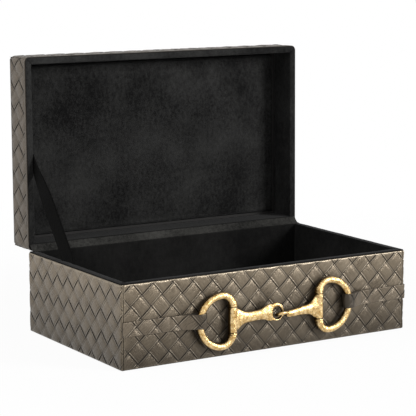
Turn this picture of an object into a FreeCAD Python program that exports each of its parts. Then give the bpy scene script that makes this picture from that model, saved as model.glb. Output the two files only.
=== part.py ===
import FreeCAD, Part
import math
import os

# Storage box with a hinged lid. Glued boards carry a leather cover outside and a suede lining
# inside, and a jointed snaffle bit hangs in two leather straps across the front.
# Millimetres, +Z up, front towards -Y, origin at the centre of the underside.
# The lid is modelled closed and is then swung open about the hinge axis.

V = FreeCAD.Vector
LEFT = -1
RIGHT = 1

# Base
base_width = 305.0
base_depth = 178.0
base_height = 76.0
base_corner_radius = 2.0

# Lid
lid_height = 34.5
lid_side_set_in = 1.0
lid_front_overhang = 2.0
lid_back_overhang = 1.4
lid_edge_radius = 5.0
lid_gap = 0.8
lid_open_angle = 90.7

# Build-up of the walls
cover_thickness = 1.0
lining_thickness = 1.0
base_board_thickness = 6.0
bottom_board_thickness = 6.0
lid_board_thickness = 5.0
lid_top_board_thickness = 5.0
felt_thickness = 1.0
felt_inset = 1.5
cover_lift = 0.3

# Seam between the side cover and the front cover
side_cover_turn = 2.5
seam_gap = 0.2

# Padded panels
lid_pad_thickness = 4.5
lid_pad_margin = 2.5
lid_pad_crown = 1.0
lid_pad_edge_radius = 3.0
floor_pad_thickness = 2.5
floor_pad_margin = 0.5
floor_pad_crown = 0.5
floor_pad_edge_radius = 1.5

# Butt hinges
hinge_end_inset = 57.5
hinge_setback = 0.4
leaf_length = 38.0
leaf_thickness = 0.8
leaf_seat = 3.6
leaf_end_clearance = 0.2
knuckle_count = 5
knuckle_gap = 0.2
knuckle_relief = 0.3
pin_radius = 0.8
pin_clearance = 0.05

# Hinge screws
screw_count = 3
screw_pitch = 13.0
screw_length = 10.0
screw_shank_radius = 0.7
screw_head_radius = 1.4
screw_clearance = 0.05

# Ribbon that stops the lid
ribbon_width = 11.0
ribbon_thickness = 0.6
ribbon_clearance = 0.2
ribbon_lid_reach = 87.0
ribbon_base_reach = 70.5
ribbon_lid_inset = 6.0
ribbon_base_inset = 8.0

# Suede strip that bridges the two back rims and hides the hinges
hinge_strip_thickness = 0.6
hinge_strip_reach = 3.6
hinge_strip_clearance = 0.1

# Snaffle bit: rings
bit_offset = 3.5
bit_level = 34.0
bit_slant = 0.8
barrel_half_spacing = 46.5
ring_tube_radius = 3.2
ring_loop_radius = 23.0
ring_corner_radius = 11.3
ring_reach = 33.9
spindle_radius = 2.2
spindle_clearance = 0.1

# Snaffle bit: mouthpiece halves
barrel_radius = 3.9
barrel_end_gap = 0.3
link_offset = 1.2
link_slack = 2.8
link_front_gap = 0.8
left_eye_hole_radius = 5.1
left_eye_wall = 2.5
left_eye_thickness = 3.6
left_eye_rise = 0.6
right_eye_radius = 4.8
right_eye_wire_radius = 1.8
right_eye_drop = 1.4

# Snaffle bit: oval sections of the two bars, as half height and half depth
bar_root_cover = 0.4
bar_shoulder_run = 5.0
left_bar_root = (9.0, 2.6)
left_bar_shoulder = (6.6, 3.3)
left_bar_waist = (5.0, 3.2)
left_bar_neck = (6.2, 1.3)
right_bar_root = (8.6, 2.6)
right_bar_shoulder = (5.8, 3.3)
right_bar_waist = (4.0, 3.2)
right_bar_neck = (1.5, 2.6)

# Straps
strap_width = 13.4
strap_thickness = 1.2
strap_level = 36.0
strap_clearance = 0.3
strap_slope = 25.0
strap_return = 25.0
strap_step = 3.0
strap_corner_gap = 1.0
strap_side_turn = 6.0

# Base: planes that the pieces share
base_x = base_width / 2
base_y = base_depth / 2
base_core_x = base_x - cover_thickness
base_core_y = base_y - cover_thickness
base_wall_x = base_core_x - base_board_thickness
base_wall_y = base_core_y - base_board_thickness
board_top = base_height - lining_thickness
floor_top = felt_thickness + bottom_board_thickness

# Lid, closed: planes that the pieces share
lid_x = base_x - lid_side_set_in
lid_front = -base_y - lid_front_overhang
lid_back = base_y + lid_back_overhang
lid_rim = base_height + lid_gap
lid_top = lid_rim + lid_height
lid_core_x = lid_x - cover_thickness
lid_core_front = lid_front + cover_thickness
lid_core_back = lid_back - cover_thickness
lid_wall_x = lid_core_x - lid_board_thickness
lid_wall_front = lid_core_front + lid_board_thickness
lid_wall_back = lid_core_back - lid_board_thickness
lid_board_rim = lid_rim + lining_thickness
lid_ceiling = lid_top - cover_thickness - lid_top_board_thickness

# Hinge axis, and a knuckle that reaches the middle of both leaves
axis_y = base_y + hinge_setback
axis_z = base_height + lid_gap / 2
knuckle_radius = lid_gap / 2 + lining_thickness + leaf_thickness / 2
leaf_inner_y = base_core_y - leaf_seat
screw_y = base_core_y - leaf_seat / 2
base_leaf_bottom = board_top - leaf_thickness
lid_leaf_top = lid_board_rim + leaf_thickness

# Bit: the ring tube stands off the front by the strap that passes behind it
strap_bore_radius = ring_tube_radius + strap_clearance
tube_standoff = strap_thickness + strap_bore_radius
bit_y = -base_y - tube_standoff
barrel_half_length = ring_loop_radius - ring_corner_radius
link_y = -base_y - link_front_gap - right_eye_radius - right_eye_wire_radius
left_eye_x = bit_offset - link_offset
right_eye_x = left_eye_x + left_eye_hole_radius + right_eye_radius - right_eye_wire_radius - link_slack


def block(x0, x1, y0, y1, z0, z1):
    """Box between two opposite corners."""
    return Part.makeBox(x1 - x0, y1 - y0, z1 - z0, V(x0, y0, z0))


def rounded_block(x0, x1, y0, y1, z0, z1, radius, round_top):
    """Box with rounded upright edges and, for a lid, rounded top edges."""
    body = block(x0, x1, y0, y1, z0, z1)
    middle = (z0 + z1) / 2
    edges = []
    for edge in body.Edges:
        low, high = sorted(vertex.Z for vertex in edge.Vertexes)
        upright = low < middle < high
        on_top = low > middle
        if upright or (on_top and round_top):
            edges.append(edge)
    return body.makeFillet(radius, edges)


def prism(points, direction):
    """Solid swept straight along a direction from a flat outline of points."""
    outline = Part.makePolygon(points + points[:1])
    return Part.Face(outline).extrude(direction)


def rod(x0, x1, y, z, radius):
    """Round bar along X."""
    return Part.makeCylinder(radius, x1 - x0, V(x0, y, z), V(1, 0, 0))


def fuse_all(shapes):
    """One clean solid from shapes that touch or overlap."""
    return shapes[0].multiFuse(shapes[1:]).removeSplitter()


def cut_all(shape, tools):
    """A shape with every tool taken out of it."""
    for tool in tools:
        shape = shape.cut(tool)
    return shape


def swing_open(shape):
    """A lid piece turned from closed to open about the hinge axis."""
    turned = shape.copy()
    turned.rotate(V(0, axis_y, axis_z), V(1, 0, 0), -lid_open_angle)
    return turned


def mitred_sides(frame, x0, x1, y0, y1, z0, z1):
    """A rectangular frame cut at 45 degrees through its corners into four sides."""
    half = (y1 - y0) / 2
    middle = (y0 + y1) / 2
    outlines = {
        "front": [(x0, y0), (x1, y0), (x1 - half, middle), (x0 + half, middle)],
        "back": [(x1, y1), (x0, y1), (x0 + half, middle), (x1 - half, middle)],
        "left": [(x0, y1), (x0, y0), (x0 + half, middle)],
        "right": [(x1, y0), (x1, y1), (x1 - half, middle)],
    }
    sides = {}
    for side, outline in outlines.items():
        wedge = prism([V(x, y, z0) for x, y in outline], V(0, 0, z1 - z0))
        sides[side] = frame.common(wedge)
    return sides


def crowned_panel(x0, x1, y0, y1, z0, thickness, crown, radius):
    """Padded panel: flat underside, rounded edges, and a top that rises to its middle."""
    shoulder = z0 + thickness - crown
    bend = radius * (1 - math.sqrt(0.5))

    def section(low, high, point, sweep):
        middle = (low + high) / 2
        corners = [
            Part.makePolygon([
                point(low, shoulder - radius),
                point(low, z0),
                point(high, z0),
                point(high, shoulder - radius),
            ]),
            Part.Arc(
                point(high, shoulder - radius),
                point(high - bend, shoulder - bend),
                point(high - radius, shoulder),
            ).toShape(),
            Part.Arc(
                point(high - radius, shoulder),
                point(middle, z0 + thickness),
                point(low + radius, shoulder),
            ).toShape(),
            Part.Arc(
                point(low + radius, shoulder),
                point(low + bend, shoulder - bend),
                point(low, shoulder - radius),
            ).toShape(),
        ]
        edges = [edge for shape in corners for edge in shape.Edges]
        return Part.Face(Part.Wire(edges)).extrude(sweep)

    across = section(x0, x1, lambda x, z: V(x, y0, z), V(0, y1 - y0, 0))
    along = section(y0, y1, lambda y, z: V(x0, y, z), V(x1 - x0, 0, 0))
    return across.common(along)


def hinge_places():
    """Middle of each hinge along X, by side."""
    reach = base_x - hinge_end_inset
    return {"left": -reach, "right": reach}


def screw_places():
    """Middle of every screw of a row of leaves along X."""
    first = -(screw_count - 1) / 2 * screw_pitch
    return [x + first + i * screw_pitch for x in hinge_places().values() for i in range(screw_count)]


def hinge_cuts(z0, z1):
    """Room for leaves between two levels and for the knuckles as they turn."""
    cuts = []
    for x in hinge_places().values():
        half = leaf_length / 2 + leaf_end_clearance
        cuts.append(block(x - half, x + half, leaf_inner_y, axis_y, z0, z1))
        cuts.append(rod(x - half, x + half, axis_y, axis_z, knuckle_radius + knuckle_relief))
    return cuts


def screw(x, head_z, down, clearance):
    """Countersunk screw, head flush at head_z, pointing along down."""
    point = V(x, screw_y, head_z)
    direction = V(0, 0, down)
    head = Part.makeCone(
        screw_head_radius + clearance, screw_shank_radius + clearance, leaf_thickness, point, direction)
    shank = Part.makeCylinder(screw_shank_radius + clearance, screw_length + clearance, point, direction)
    return head.fuse(shank).removeSplitter()


def base_carcass():
    """Bottom board and the four wall boards of the base."""
    core = rounded_block(
        -base_core_x, base_core_x, -base_core_y, base_core_y, felt_thickness, board_top,
        base_corner_radius - cover_thickness, False)
    z0 = felt_thickness
    boards = {
        "base_bottom_board": block(-base_wall_x, base_wall_x, -base_wall_y, base_wall_y, z0, floor_top),
        "base_front_board": block(-base_core_x, base_core_x, -base_core_y, -base_wall_y, z0, board_top),
        "base_back_board": block(-base_core_x, base_core_x, base_wall_y, base_core_y, z0, board_top),
        "base_left_board": block(-base_core_x, -base_wall_x, -base_wall_y, base_wall_y, z0, board_top),
        "base_right_board": block(base_wall_x, base_core_x, -base_wall_y, base_wall_y, z0, board_top),
    }
    boards = {name: board.common(core) for name, board in boards.items()}
    holes = [screw(x, board_top, -1, screw_clearance) for x in screw_places()]
    cuts = hinge_cuts(base_leaf_bottom, board_top) + holes
    boards["base_back_board"] = cut_all(boards["base_back_board"], cuts)
    return boards


def base_covers():
    """Leather front panel, and the strip round the other three sides that turns onto the front."""
    skin = rounded_block(
        -base_x, base_x, -base_y, base_y, cover_lift, board_top, base_corner_radius, False)
    core = rounded_block(
        -base_core_x, base_core_x, -base_core_y, base_core_y, 0, base_height,
        base_corner_radius - cover_thickness, False)
    turn_x = base_x - side_cover_turn
    window = block(-turn_x, turn_x, -base_y, -base_core_y, 0, base_height)
    side_cover = skin.cut(core).cut(window)
    panel_x = turn_x - seam_gap
    return {
        "base_front_cover": block(-panel_x, panel_x, -base_y, -base_core_y, cover_lift, board_top),
        "base_side_cover": cut_all(side_cover, hinge_cuts(base_leaf_bottom, board_top)),
    }


def base_felt():
    """Felt sheet that the box stands on."""
    half_x = base_x - felt_inset
    half_y = base_y - felt_inset
    return {"base_felt": block(-half_x, half_x, -half_y, half_y, 0, felt_thickness)}


def base_linings():
    """Suede strip on each wall of the base, turned over the rim and mitred at the corners."""
    inner_x = base_wall_x - lining_thickness
    inner_y = base_wall_y - lining_thickness
    rim = rounded_block(
        -base_core_x, base_core_x, -base_core_y, base_core_y, board_top, base_height,
        base_corner_radius - cover_thickness, False)
    wall = block(-base_wall_x, base_wall_x, -base_wall_y, base_wall_y, floor_top, board_top)
    room = block(-inner_x, inner_x, -inner_y, inner_y, floor_top, base_height)
    frame = rim.fuse(wall).cut(room)
    sides = mitred_sides(
        frame, -base_core_x, base_core_x, -base_core_y, base_core_y, floor_top, base_height)
    sides["back"] = cut_all(sides["back"], hinge_cuts(base_leaf_bottom, board_top))
    return {"base_" + side + "_lining": shape.removeSplitter() for side, shape in sides.items()}


def base_floor_pad():
    """Thin padded panel on the floor."""
    half_x = base_wall_x - lining_thickness - floor_pad_margin
    half_y = base_wall_y - lining_thickness - floor_pad_margin
    pad = crowned_panel(
        -half_x, half_x, -half_y, half_y, floor_top,
        floor_pad_thickness, floor_pad_crown, floor_pad_edge_radius)
    return {"base_floor_pad": pad}


def lid_carcass():
    """Top board and the four wall boards of the lid, closed."""
    core = rounded_block(
        -lid_core_x, lid_core_x, lid_core_front, lid_core_back, lid_board_rim, lid_top - cover_thickness,
        lid_edge_radius - cover_thickness, True)
    z0 = lid_board_rim
    z1 = lid_ceiling
    top = lid_top - cover_thickness
    boards = {
        "lid_top_board": block(-lid_core_x, lid_core_x, lid_core_front, lid_core_back, z1, top),
        "lid_front_board": block(-lid_core_x, lid_core_x, lid_core_front, lid_wall_front, z0, z1),
        "lid_back_board": block(-lid_core_x, lid_core_x, lid_wall_back, lid_core_back, z0, z1),
        "lid_left_board": block(-lid_core_x, -lid_wall_x, lid_wall_front, lid_wall_back, z0, z1),
        "lid_right_board": block(lid_wall_x, lid_core_x, lid_wall_front, lid_wall_back, z0, z1),
    }
    boards = {name: board.common(core) for name, board in boards.items()}
    holes = [screw(x, lid_board_rim, 1, screw_clearance) for x in screw_places()]
    cuts = hinge_cuts(lid_board_rim, lid_leaf_top) + holes
    boards["lid_back_board"] = cut_all(boards["lid_back_board"], cuts)
    return boards


def lid_cover():
    """One leather cover over the top and the four sides of the lid, closed."""
    skin = rounded_block(
        -lid_x, lid_x, lid_front, lid_back, lid_board_rim, lid_top, lid_edge_radius, True)
    core = rounded_block(
        -lid_core_x, lid_core_x, lid_core_front, lid_core_back, lid_rim, lid_top - cover_thickness,
        lid_edge_radius - cover_thickness, True)
    return {"lid_cover": cut_all(skin.cut(core), hinge_cuts(lid_board_rim, lid_leaf_top))}


def lid_linings():
    """Suede strip on each wall of the lid, turned over the rim and mitred at the corners, closed."""
    inner_x = lid_wall_x - lining_thickness
    inner_front = lid_wall_front + lining_thickness
    inner_back = lid_wall_back - lining_thickness
    rim = rounded_block(
        -lid_core_x, lid_core_x, lid_core_front, lid_core_back, lid_rim, lid_board_rim,
        lid_edge_radius - cover_thickness, False)
    wall = block(-lid_wall_x, lid_wall_x, lid_wall_front, lid_wall_back, lid_board_rim, lid_ceiling)
    room = block(-inner_x, inner_x, inner_front, inner_back, lid_rim, lid_ceiling)
    frame = rim.fuse(wall).cut(room)
    sides = mitred_sides(
        frame, -lid_core_x, lid_core_x, lid_core_front, lid_core_back, lid_rim, lid_ceiling)
    sides["back"] = cut_all(sides["back"], hinge_cuts(lid_board_rim, lid_leaf_top))
    return {"lid_" + side + "_lining": shape.removeSplitter() for side, shape in sides.items()}


def lid_pad():
    """Padded suede panel under the top board of the lid, closed: its crown hangs downwards."""
    half_x = lid_wall_x - lining_thickness - lid_pad_margin
    front = lid_wall_front + lining_thickness + lid_pad_margin
    back = lid_wall_back - lining_thickness - lid_pad_margin
    pad = crowned_panel(
        -half_x, half_x, front, back, lid_ceiling,
        lid_pad_thickness, lid_pad_crown, lid_pad_edge_radius)
    return {"lid_pad": pad.mirror(V(0, 0, lid_ceiling), V(0, 0, 1))}


def hinge_leaf(x, z0, z1, own_first):
    """Hinge leaf between two levels, with every second knuckle, starting at own_first."""
    start = x - leaf_length / 2
    pitch = leaf_length / knuckle_count
    plate = block(start, start + leaf_length, leaf_inner_y, axis_y, z0, z1)
    play = knuckle_gap / 2
    knuckles = []
    for i in range(knuckle_count):
        low = start + i * pitch
        high = low + pitch
        if i % 2 == own_first:
            knuckles.append(rod(low + play, high - play, axis_y, axis_z, knuckle_radius))
        else:
            room = knuckle_radius + knuckle_relief
            plate = plate.cut(rod(low - play, high + play, axis_y, axis_z, room))
    bore = rod(start, start + leaf_length, axis_y, axis_z, pin_radius + pin_clearance)
    return fuse_all([plate] + knuckles).cut(bore)


def hinges():
    """Base leaf, lid leaf and pin of each hinge, with the lid leaf closed."""
    parts = {}
    base_holes = [screw(x, board_top, -1, screw_clearance) for x in screw_places()]
    lid_holes = [screw(x, lid_board_rim, 1, screw_clearance) for x in screw_places()]
    for side, x in hinge_places().items():
        base_leaf = hinge_leaf(x, base_leaf_bottom, board_top, 0)
        lid_leaf = hinge_leaf(x, lid_board_rim, lid_leaf_top, 1)
        parts[side + "_hinge_base_leaf"] = cut_all(base_leaf, base_holes)
        parts[side + "_hinge_lid_leaf"] = cut_all(lid_leaf, lid_holes)
        parts[side + "_hinge_pin"] = rod(x - leaf_length / 2, x + leaf_length / 2, axis_y, axis_z, pin_radius)
    parts["base_hinge_screws"] = Part.makeCompound([screw(x, board_top, -1, 0) for x in screw_places()])
    parts["lid_hinge_screws"] = Part.makeCompound([screw(x, lid_board_rim, 1, 0) for x in screw_places()])
    return parts


def stay_ribbon():
    """Ribbon from the left wall of the base to the left wall of the open lid."""
    angle = math.radians(lid_open_angle)
    x0 = -base_wall_x + lining_thickness + ribbon_clearance
    lid_end = V(
        x0,
        axis_y - ribbon_lid_reach * math.cos(angle) + ribbon_lid_inset * math.sin(angle),
        axis_z + ribbon_lid_reach * math.sin(angle) + ribbon_lid_inset * math.cos(angle))
    base_end = V(x0, axis_y - ribbon_base_reach, base_height - ribbon_base_inset)
    along = (lid_end - base_end).normalize()
    side = V(0, -along.z, along.y) * (ribbon_width / 2)
    outline = [base_end + side, lid_end + side, lid_end - side, base_end - side]
    return {"stay_ribbon": prism(outline, V(ribbon_thickness, 0, 0))}


def hinge_strip():
    """Suede strip from the back rim of the base up to the rim of the open lid, over the hinges."""
    lean = math.tan(math.radians(lid_open_angle - 90))
    lid_plane = axis_y + lid_gap / 2 - hinge_strip_clearance
    half_x = base_wall_x - lining_thickness
    foot_y = base_core_y - hinge_strip_reach
    foot_z = base_height + hinge_strip_clearance
    width = hinge_strip_thickness * math.sqrt(2)
    head_z = foot_z + lid_plane - foot_y
    outline = [
        V(-half_x, foot_y, foot_z),
        V(-half_x, lid_plane, head_z),
        V(-half_x, lid_plane + width * lean, head_z + width),
        V(-half_x, foot_y - width, foot_z),
    ]
    return {"hinge_strip": prism(outline, V(2 * half_x, 0, 0))}


def barrel_x(side):
    """Axis of a ring's barrel along X."""
    return bit_offset + side * barrel_half_spacing


def ring_level(side):
    """Height of a ring's middle; the bit hangs a little lower on its left."""
    return bit_level + side * bit_slant


def tube_x(side):
    """Middle of a ring's tube where the strap holds it, along X."""
    return barrel_x(side) + side * ring_reach


def bit_ring(side):
    """Egg-shaped ring: a tube that stops at both ends of the barrel, joined by a thin spindle."""
    bar = barrel_x(side)
    turn = bar + side * ring_corner_radius
    centre = bar + side * (ring_reach - ring_loop_radius)
    far = tube_x(side)
    bend = ring_corner_radius * (1 - math.sqrt(0.5))

    def point(x, dz):
        return V(x, bit_y, ring_level(side) + dz)

    top = ring_loop_radius
    path = [
        Part.Arc(
            point(bar, barrel_half_length),
            point(bar + side * bend, top - bend),
            point(turn, top)).toShape(),
        Part.LineSegment(point(turn, top), point(centre, top)).toShape(),
        Part.Arc(point(centre, top), point(far, 0), point(centre, -top)).toShape(),
        Part.LineSegment(point(centre, -top), point(turn, -top)).toShape(),
        Part.Arc(
            point(turn, -top),
            point(bar + side * bend, bend - top),
            point(bar, -barrel_half_length)).toShape(),
    ]
    section = Part.Wire(Part.makeCircle(ring_tube_radius, point(bar, barrel_half_length), V(0, 0, 1)))
    tube = Part.Wire(path).makePipeShell([section], True, False)
    spindle = Part.makeCylinder(spindle_radius, 2 * barrel_half_length, point(bar, -barrel_half_length))
    return fuse_all([tube, spindle])


def oval(middle, section):
    """Upright oval across the bit, from its half height and half depth."""
    half_height, half_depth = section
    circle = Part.Wire(Part.makeCircle(1, V(0, 0, 0), V(1, 0, 0)))
    stretch = FreeCAD.Matrix()
    stretch.scale(1, half_depth, half_height)
    wire = circle.transformGeometry(stretch)
    wire.translate(middle)
    return wire


def bar(side, eye_x, eye_z, neck_gap, root, shoulder, waist, neck):
    """Bar from inside a barrel to the wall of its eye, neck_gap short of the eye's middle."""
    start = V(barrel_x(side), bit_y, ring_level(side))
    end = V(eye_x, link_y, eye_z)
    length = abs(end.x - start.x)
    places = [
        (spindle_radius + spindle_clearance + bar_root_cover, root),
        (barrel_radius + bar_shoulder_run, shoulder),
        (length / 2, waist),
        (length - neck_gap, neck),
    ]
    ovals = []
    for distance, section in places:
        middle = start + (end - start) * (distance / length)
        ovals.append(oval(middle, section))
    return Part.makeLoft(ovals, True, False, False, 3)


def barrel(side):
    """Sleeve that turns on the ring's spindle."""
    half = barrel_half_length - barrel_end_gap
    return Part.makeCylinder(barrel_radius, 2 * half, V(barrel_x(side), bit_y, ring_level(side) - half))


def spindle_bore(side):
    """Hole in the barrel for the ring's spindle."""
    half = barrel_half_length
    return Part.makeCylinder(
        spindle_radius + spindle_clearance, 2 * half, V(barrel_x(side), bit_y, ring_level(side) - half))


def left_mouthpiece():
    """Left half: its eye stands upright, parallel to the front of the box."""
    middle = V(left_eye_x, link_y, bit_level + left_eye_rise)
    half_thickness = left_eye_thickness / 2
    half_wall = left_eye_wall / 2
    rim = left_eye_hole_radius + half_wall
    rod_bar = bar(
        LEFT, middle.x, middle.z, rim, left_bar_root, left_bar_shoulder, left_bar_waist, left_bar_neck)
    wall_middle = middle + V(rim, 0, 0)
    wall = Part.Ellipse(wall_middle + V(0, half_thickness, 0), wall_middle + V(half_wall, 0, 0), wall_middle)
    eye = Part.Face(Part.Wire(wall.toShape())).revolve(middle, V(0, 1, 0), 360)
    return barrel(LEFT).multiFuse([rod_bar, eye]).cut(spindle_bore(LEFT))


def right_mouthpiece():
    """Right half: its eye lies flat and hooks through the left one."""
    middle = V(right_eye_x, link_y, bit_level - right_eye_drop)
    rod_bar = bar(
        RIGHT, middle.x, middle.z, right_eye_radius,
        right_bar_root, right_bar_shoulder, right_bar_waist, right_bar_neck)
    eye = Part.makeTorus(right_eye_radius, right_eye_wire_radius, middle, V(0, 0, 1))
    return barrel(RIGHT).multiFuse([rod_bar, eye]).cut(spindle_bore(RIGHT))


def tube_drift(side):
    """How far a ring's tube curves inwards between the strap's edges and its own level."""
    rise = abs(strap_level - ring_level(side)) + strap_width / 2
    inner = ring_loop_radius - ring_tube_radius
    return inner - math.sqrt(inner ** 2 - rise ** 2)


def strip_outline(path, thickness):
    """Outline of a strip of even thickness along a bent line of (s, n) points."""
    half = thickness / 2
    directions = []
    for (s0, n0), (s1, n1) in zip(path, path[1:]):
        length = math.hypot(s1 - s0, n1 - n0)
        directions.append(((s1 - s0) / length, (n1 - n0) / length))
    before = directions[:1] + directions
    after = directions + directions[-1:]
    upper = []
    lower = []
    for (s, n), (ds0, dn0), (ds1, dn1) in zip(path, before, after):
        reach = half / (1 + ds0 * ds1 + dn0 * dn1)
        offset = ((-dn0 - dn1) * reach, (ds0 + ds1) * reach)
        upper.append((s + offset[0], n + offset[1]))
        lower.append((s - offset[0], n - offset[1]))
    return upper + lower[::-1]


def strap(side, end):
    """Strap from a corner of the front, over a ring's tube, round it and back under itself.

    In its plan, s runs from the tube towards the corner and n stands off the front.
    The loop is longer than the tube is thick, because the tube curves away above and below.
    """
    drift = tube_drift(side)
    outer_radius = strap_bore_radius + strap_thickness
    bottom = strap_level - strap_width / 2
    slope = math.radians(strap_slope)
    middle = strap_bore_radius + strap_thickness / 2
    over_tube = tube_standoff + middle
    over_return = 1.5 * strap_thickness
    on_front = 0.5 * strap_thickness
    bend = middle * math.tan(slope / 2)
    landing = bend + (over_tube - over_return) / math.tan(slope)
    path = [
        (-drift, over_tube),
        (bend, over_tube),
        (landing, over_return),
        (strap_return, over_return),
        (strap_return + strap_step, on_front),
        (end, on_front),
    ]

    def place(s, n):
        return V(tube_x(side) + side * s, -base_y - n, bottom)

    up = V(0, 0, strap_width)
    outer_run = prism([place(s, n) for s, n in strip_outline(path, strap_thickness)], up)
    inner_run = prism(
        [place(-drift, 0), place(strap_return, 0), place(strap_return, strap_thickness),
         place(-drift, strap_thickness)], up)
    centre = place(-drift, tube_standoff)
    loop = Part.makeCylinder(outer_radius, strap_width, centre)
    loop = loop.cut(Part.makeCylinder(strap_bore_radius, strap_width, centre))
    x0, x1 = sorted([centre.x, centre.x - side * 2 * outer_radius])
    inside = block(
        x0, x1, centre.y - 2 * outer_radius, centre.y + 2 * outer_radius, bottom, bottom + strap_width)
    return [outer_run, inner_run, loop.common(inside)]


def corner_turn(side):
    """End of a strap, bent round the corner of the base and laid on its side."""
    bottom = strap_level - strap_width / 2
    centre = V(side * (base_x - base_corner_radius), -base_y + base_corner_radius, bottom)
    bend = Part.makeCylinder(base_corner_radius + strap_thickness, strap_width, centre)
    bend = bend.cut(Part.makeCylinder(base_corner_radius, strap_width, centre))
    reach = 2 * (base_corner_radius + strap_thickness)
    x0, x1 = sorted([centre.x, centre.x + side * reach])
    bend = bend.common(block(x0, x1, centre.y - reach, centre.y, bottom, bottom + strap_width))
    x0, x1 = sorted([side * base_x, side * (base_x + strap_thickness)])
    tail = block(x0, x1, centre.y, centre.y + strap_side_turn, bottom, bottom + strap_width)
    return [bend, tail]


def straps():
    """Left strap, tucked in at the corner seam, and right strap, turned round its corner."""
    left_end = base_x - strap_corner_gap - abs(tube_x(LEFT))
    right_end = base_x - base_corner_radius - abs(tube_x(RIGHT))
    return {
        "left_strap": fuse_all(strap(LEFT, left_end)),
        "right_strap": fuse_all(strap(RIGHT, right_end) + corner_turn(RIGHT)),
    }


def bit():
    """Rings and mouthpiece halves of the snaffle bit."""
    return {
        "left_ring": bit_ring(LEFT),
        "right_ring": bit_ring(RIGHT),
        "left_mouthpiece": left_mouthpiece(),
        "right_mouthpiece": right_mouthpiece(),
    }


parts = {}
for fixed in [base_carcass(), base_covers(), base_felt(), base_linings(), base_floor_pad(), straps(), bit()]:
    parts.update(fixed)
parts.update(stay_ribbon())
parts.update(hinge_strip())

hinge_parts = hinges()
for name, shape in hinge_parts.items():
    parts[name] = swing_open(shape) if "lid" in name else shape

for closed in [lid_carcass(), lid_cover(), lid_linings(), lid_pad()]:
    for name, shape in closed.items():
        parts[name] = swing_open(shape)

os.makedirs("parts", exist_ok=True)
for name, shape in parts.items():
    shape.exportStep("parts/" + name + ".step")
    print(name, "solids", len(shape.Solids), "valid", shape.isValid(), "volume", round(shape.Volume, 1))
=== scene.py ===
import math
import random

import bmesh
import bpy
from mathutils import Matrix, Vector, noise
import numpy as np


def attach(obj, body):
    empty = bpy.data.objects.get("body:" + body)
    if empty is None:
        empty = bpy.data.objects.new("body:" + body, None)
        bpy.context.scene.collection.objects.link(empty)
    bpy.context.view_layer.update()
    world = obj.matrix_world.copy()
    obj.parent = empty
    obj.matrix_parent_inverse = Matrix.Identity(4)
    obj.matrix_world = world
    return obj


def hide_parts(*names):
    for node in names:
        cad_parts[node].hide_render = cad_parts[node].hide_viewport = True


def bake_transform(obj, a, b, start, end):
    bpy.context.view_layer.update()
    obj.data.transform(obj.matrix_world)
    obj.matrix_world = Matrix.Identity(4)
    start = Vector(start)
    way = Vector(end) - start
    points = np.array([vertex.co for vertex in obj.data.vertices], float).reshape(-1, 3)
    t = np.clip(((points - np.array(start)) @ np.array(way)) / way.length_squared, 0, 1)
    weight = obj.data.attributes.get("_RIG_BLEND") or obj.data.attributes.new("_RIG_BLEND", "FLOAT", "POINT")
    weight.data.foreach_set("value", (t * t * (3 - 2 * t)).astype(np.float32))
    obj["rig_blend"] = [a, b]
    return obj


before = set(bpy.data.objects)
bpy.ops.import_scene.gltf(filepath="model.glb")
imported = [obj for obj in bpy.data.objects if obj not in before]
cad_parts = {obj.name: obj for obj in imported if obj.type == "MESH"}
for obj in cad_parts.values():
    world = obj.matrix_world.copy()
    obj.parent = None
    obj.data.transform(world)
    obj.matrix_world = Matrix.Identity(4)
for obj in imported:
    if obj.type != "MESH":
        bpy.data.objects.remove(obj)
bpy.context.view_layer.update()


# ---- Boards -------------------------------------------------------------------------------
# Walls, bottom and top of the box: black-dyed fibreboard, sawn square and glued edge to edge.
# Leather and suede hide nearly all of it, so the solids stay and get a matt dark fibre.

board_brown = (0.010, 0.009, 0.008, 1.0)
board_dark = (0.005, 0.0045, 0.004, 1.0)


def add_node(tree, kind, inputs=None, **settings):
    """New node with its settings; an input takes a value, or is linked if it gets a socket."""
    node = tree.nodes.new(kind)
    for key, value in settings.items():
        setattr(node, key, value)
    for key, value in (inputs or {}).items():
        if isinstance(value, bpy.types.NodeSocket):
            tree.links.new(value, node.inputs[key])
        else:
            node.inputs[key].default_value = value
    return node


def new_material(name, **sockets):
    """Material with one Principled shader, whose plain values are set on its own sockets."""
    material = bpy.data.materials.new(name)
    material.use_nodes = True
    tree = material.node_tree
    tree.nodes.clear()
    shader = add_node(tree, "ShaderNodeBsdfPrincipled")
    add_node(tree, "ShaderNodeOutputMaterial", {"Surface": shader.outputs["BSDF"]})
    for key, value in sockets.items():
        shader.inputs[key.replace("_", " ").title().replace("Ior", "IOR")].default_value = value
    return material, tree, shader


def two_tones(tree, mask, dark, light):
    """Colour that runs from dark to light with a mask."""
    mix = add_node(tree, "ShaderNodeMix", {0: mask, 6: dark, 7: light}, data_type="RGBA")
    return mix.outputs[2]


def spread(tree, value, low, high, to_low=0.0, to_high=1.0):
    """A value rescaled from one span to another and held inside it."""
    node = add_node(tree, "ShaderNodeMapRange", {
        "Value": value, "From Min": low, "From Max": high, "To Min": to_low, "To Max": to_high})
    return node.outputs["Result"]


def place_coordinates(tree):
    """Object coordinates: metres in the frame of the box, because every piece sits at the origin."""
    return add_node(tree, "ShaderNodeTexCoord").outputs["Object"]


def mottle(tree, coordinates, scale, detail=4.0, roughness=0.55):
    """Cloudy noise from 0 to 1."""
    node = add_node(tree, "ShaderNodeTexNoise", {
        "Vector": coordinates, "Scale": scale, "Detail": detail, "Roughness": roughness})
    return node.outputs["Fac"]


def bump_normal(tree, height, distance):
    """Normal bent by a height, with the depth of the relief in metres."""
    node = add_node(tree, "ShaderNodeBump", {"Height": height, "Distance": distance})
    return node.outputs["Normal"]


def finish_node(names, material):
    """CAD nodes that keep their shape get a material."""
    for name in names:
        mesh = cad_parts[name].data
        mesh.materials.clear()
        mesh.materials.append(material)


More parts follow.
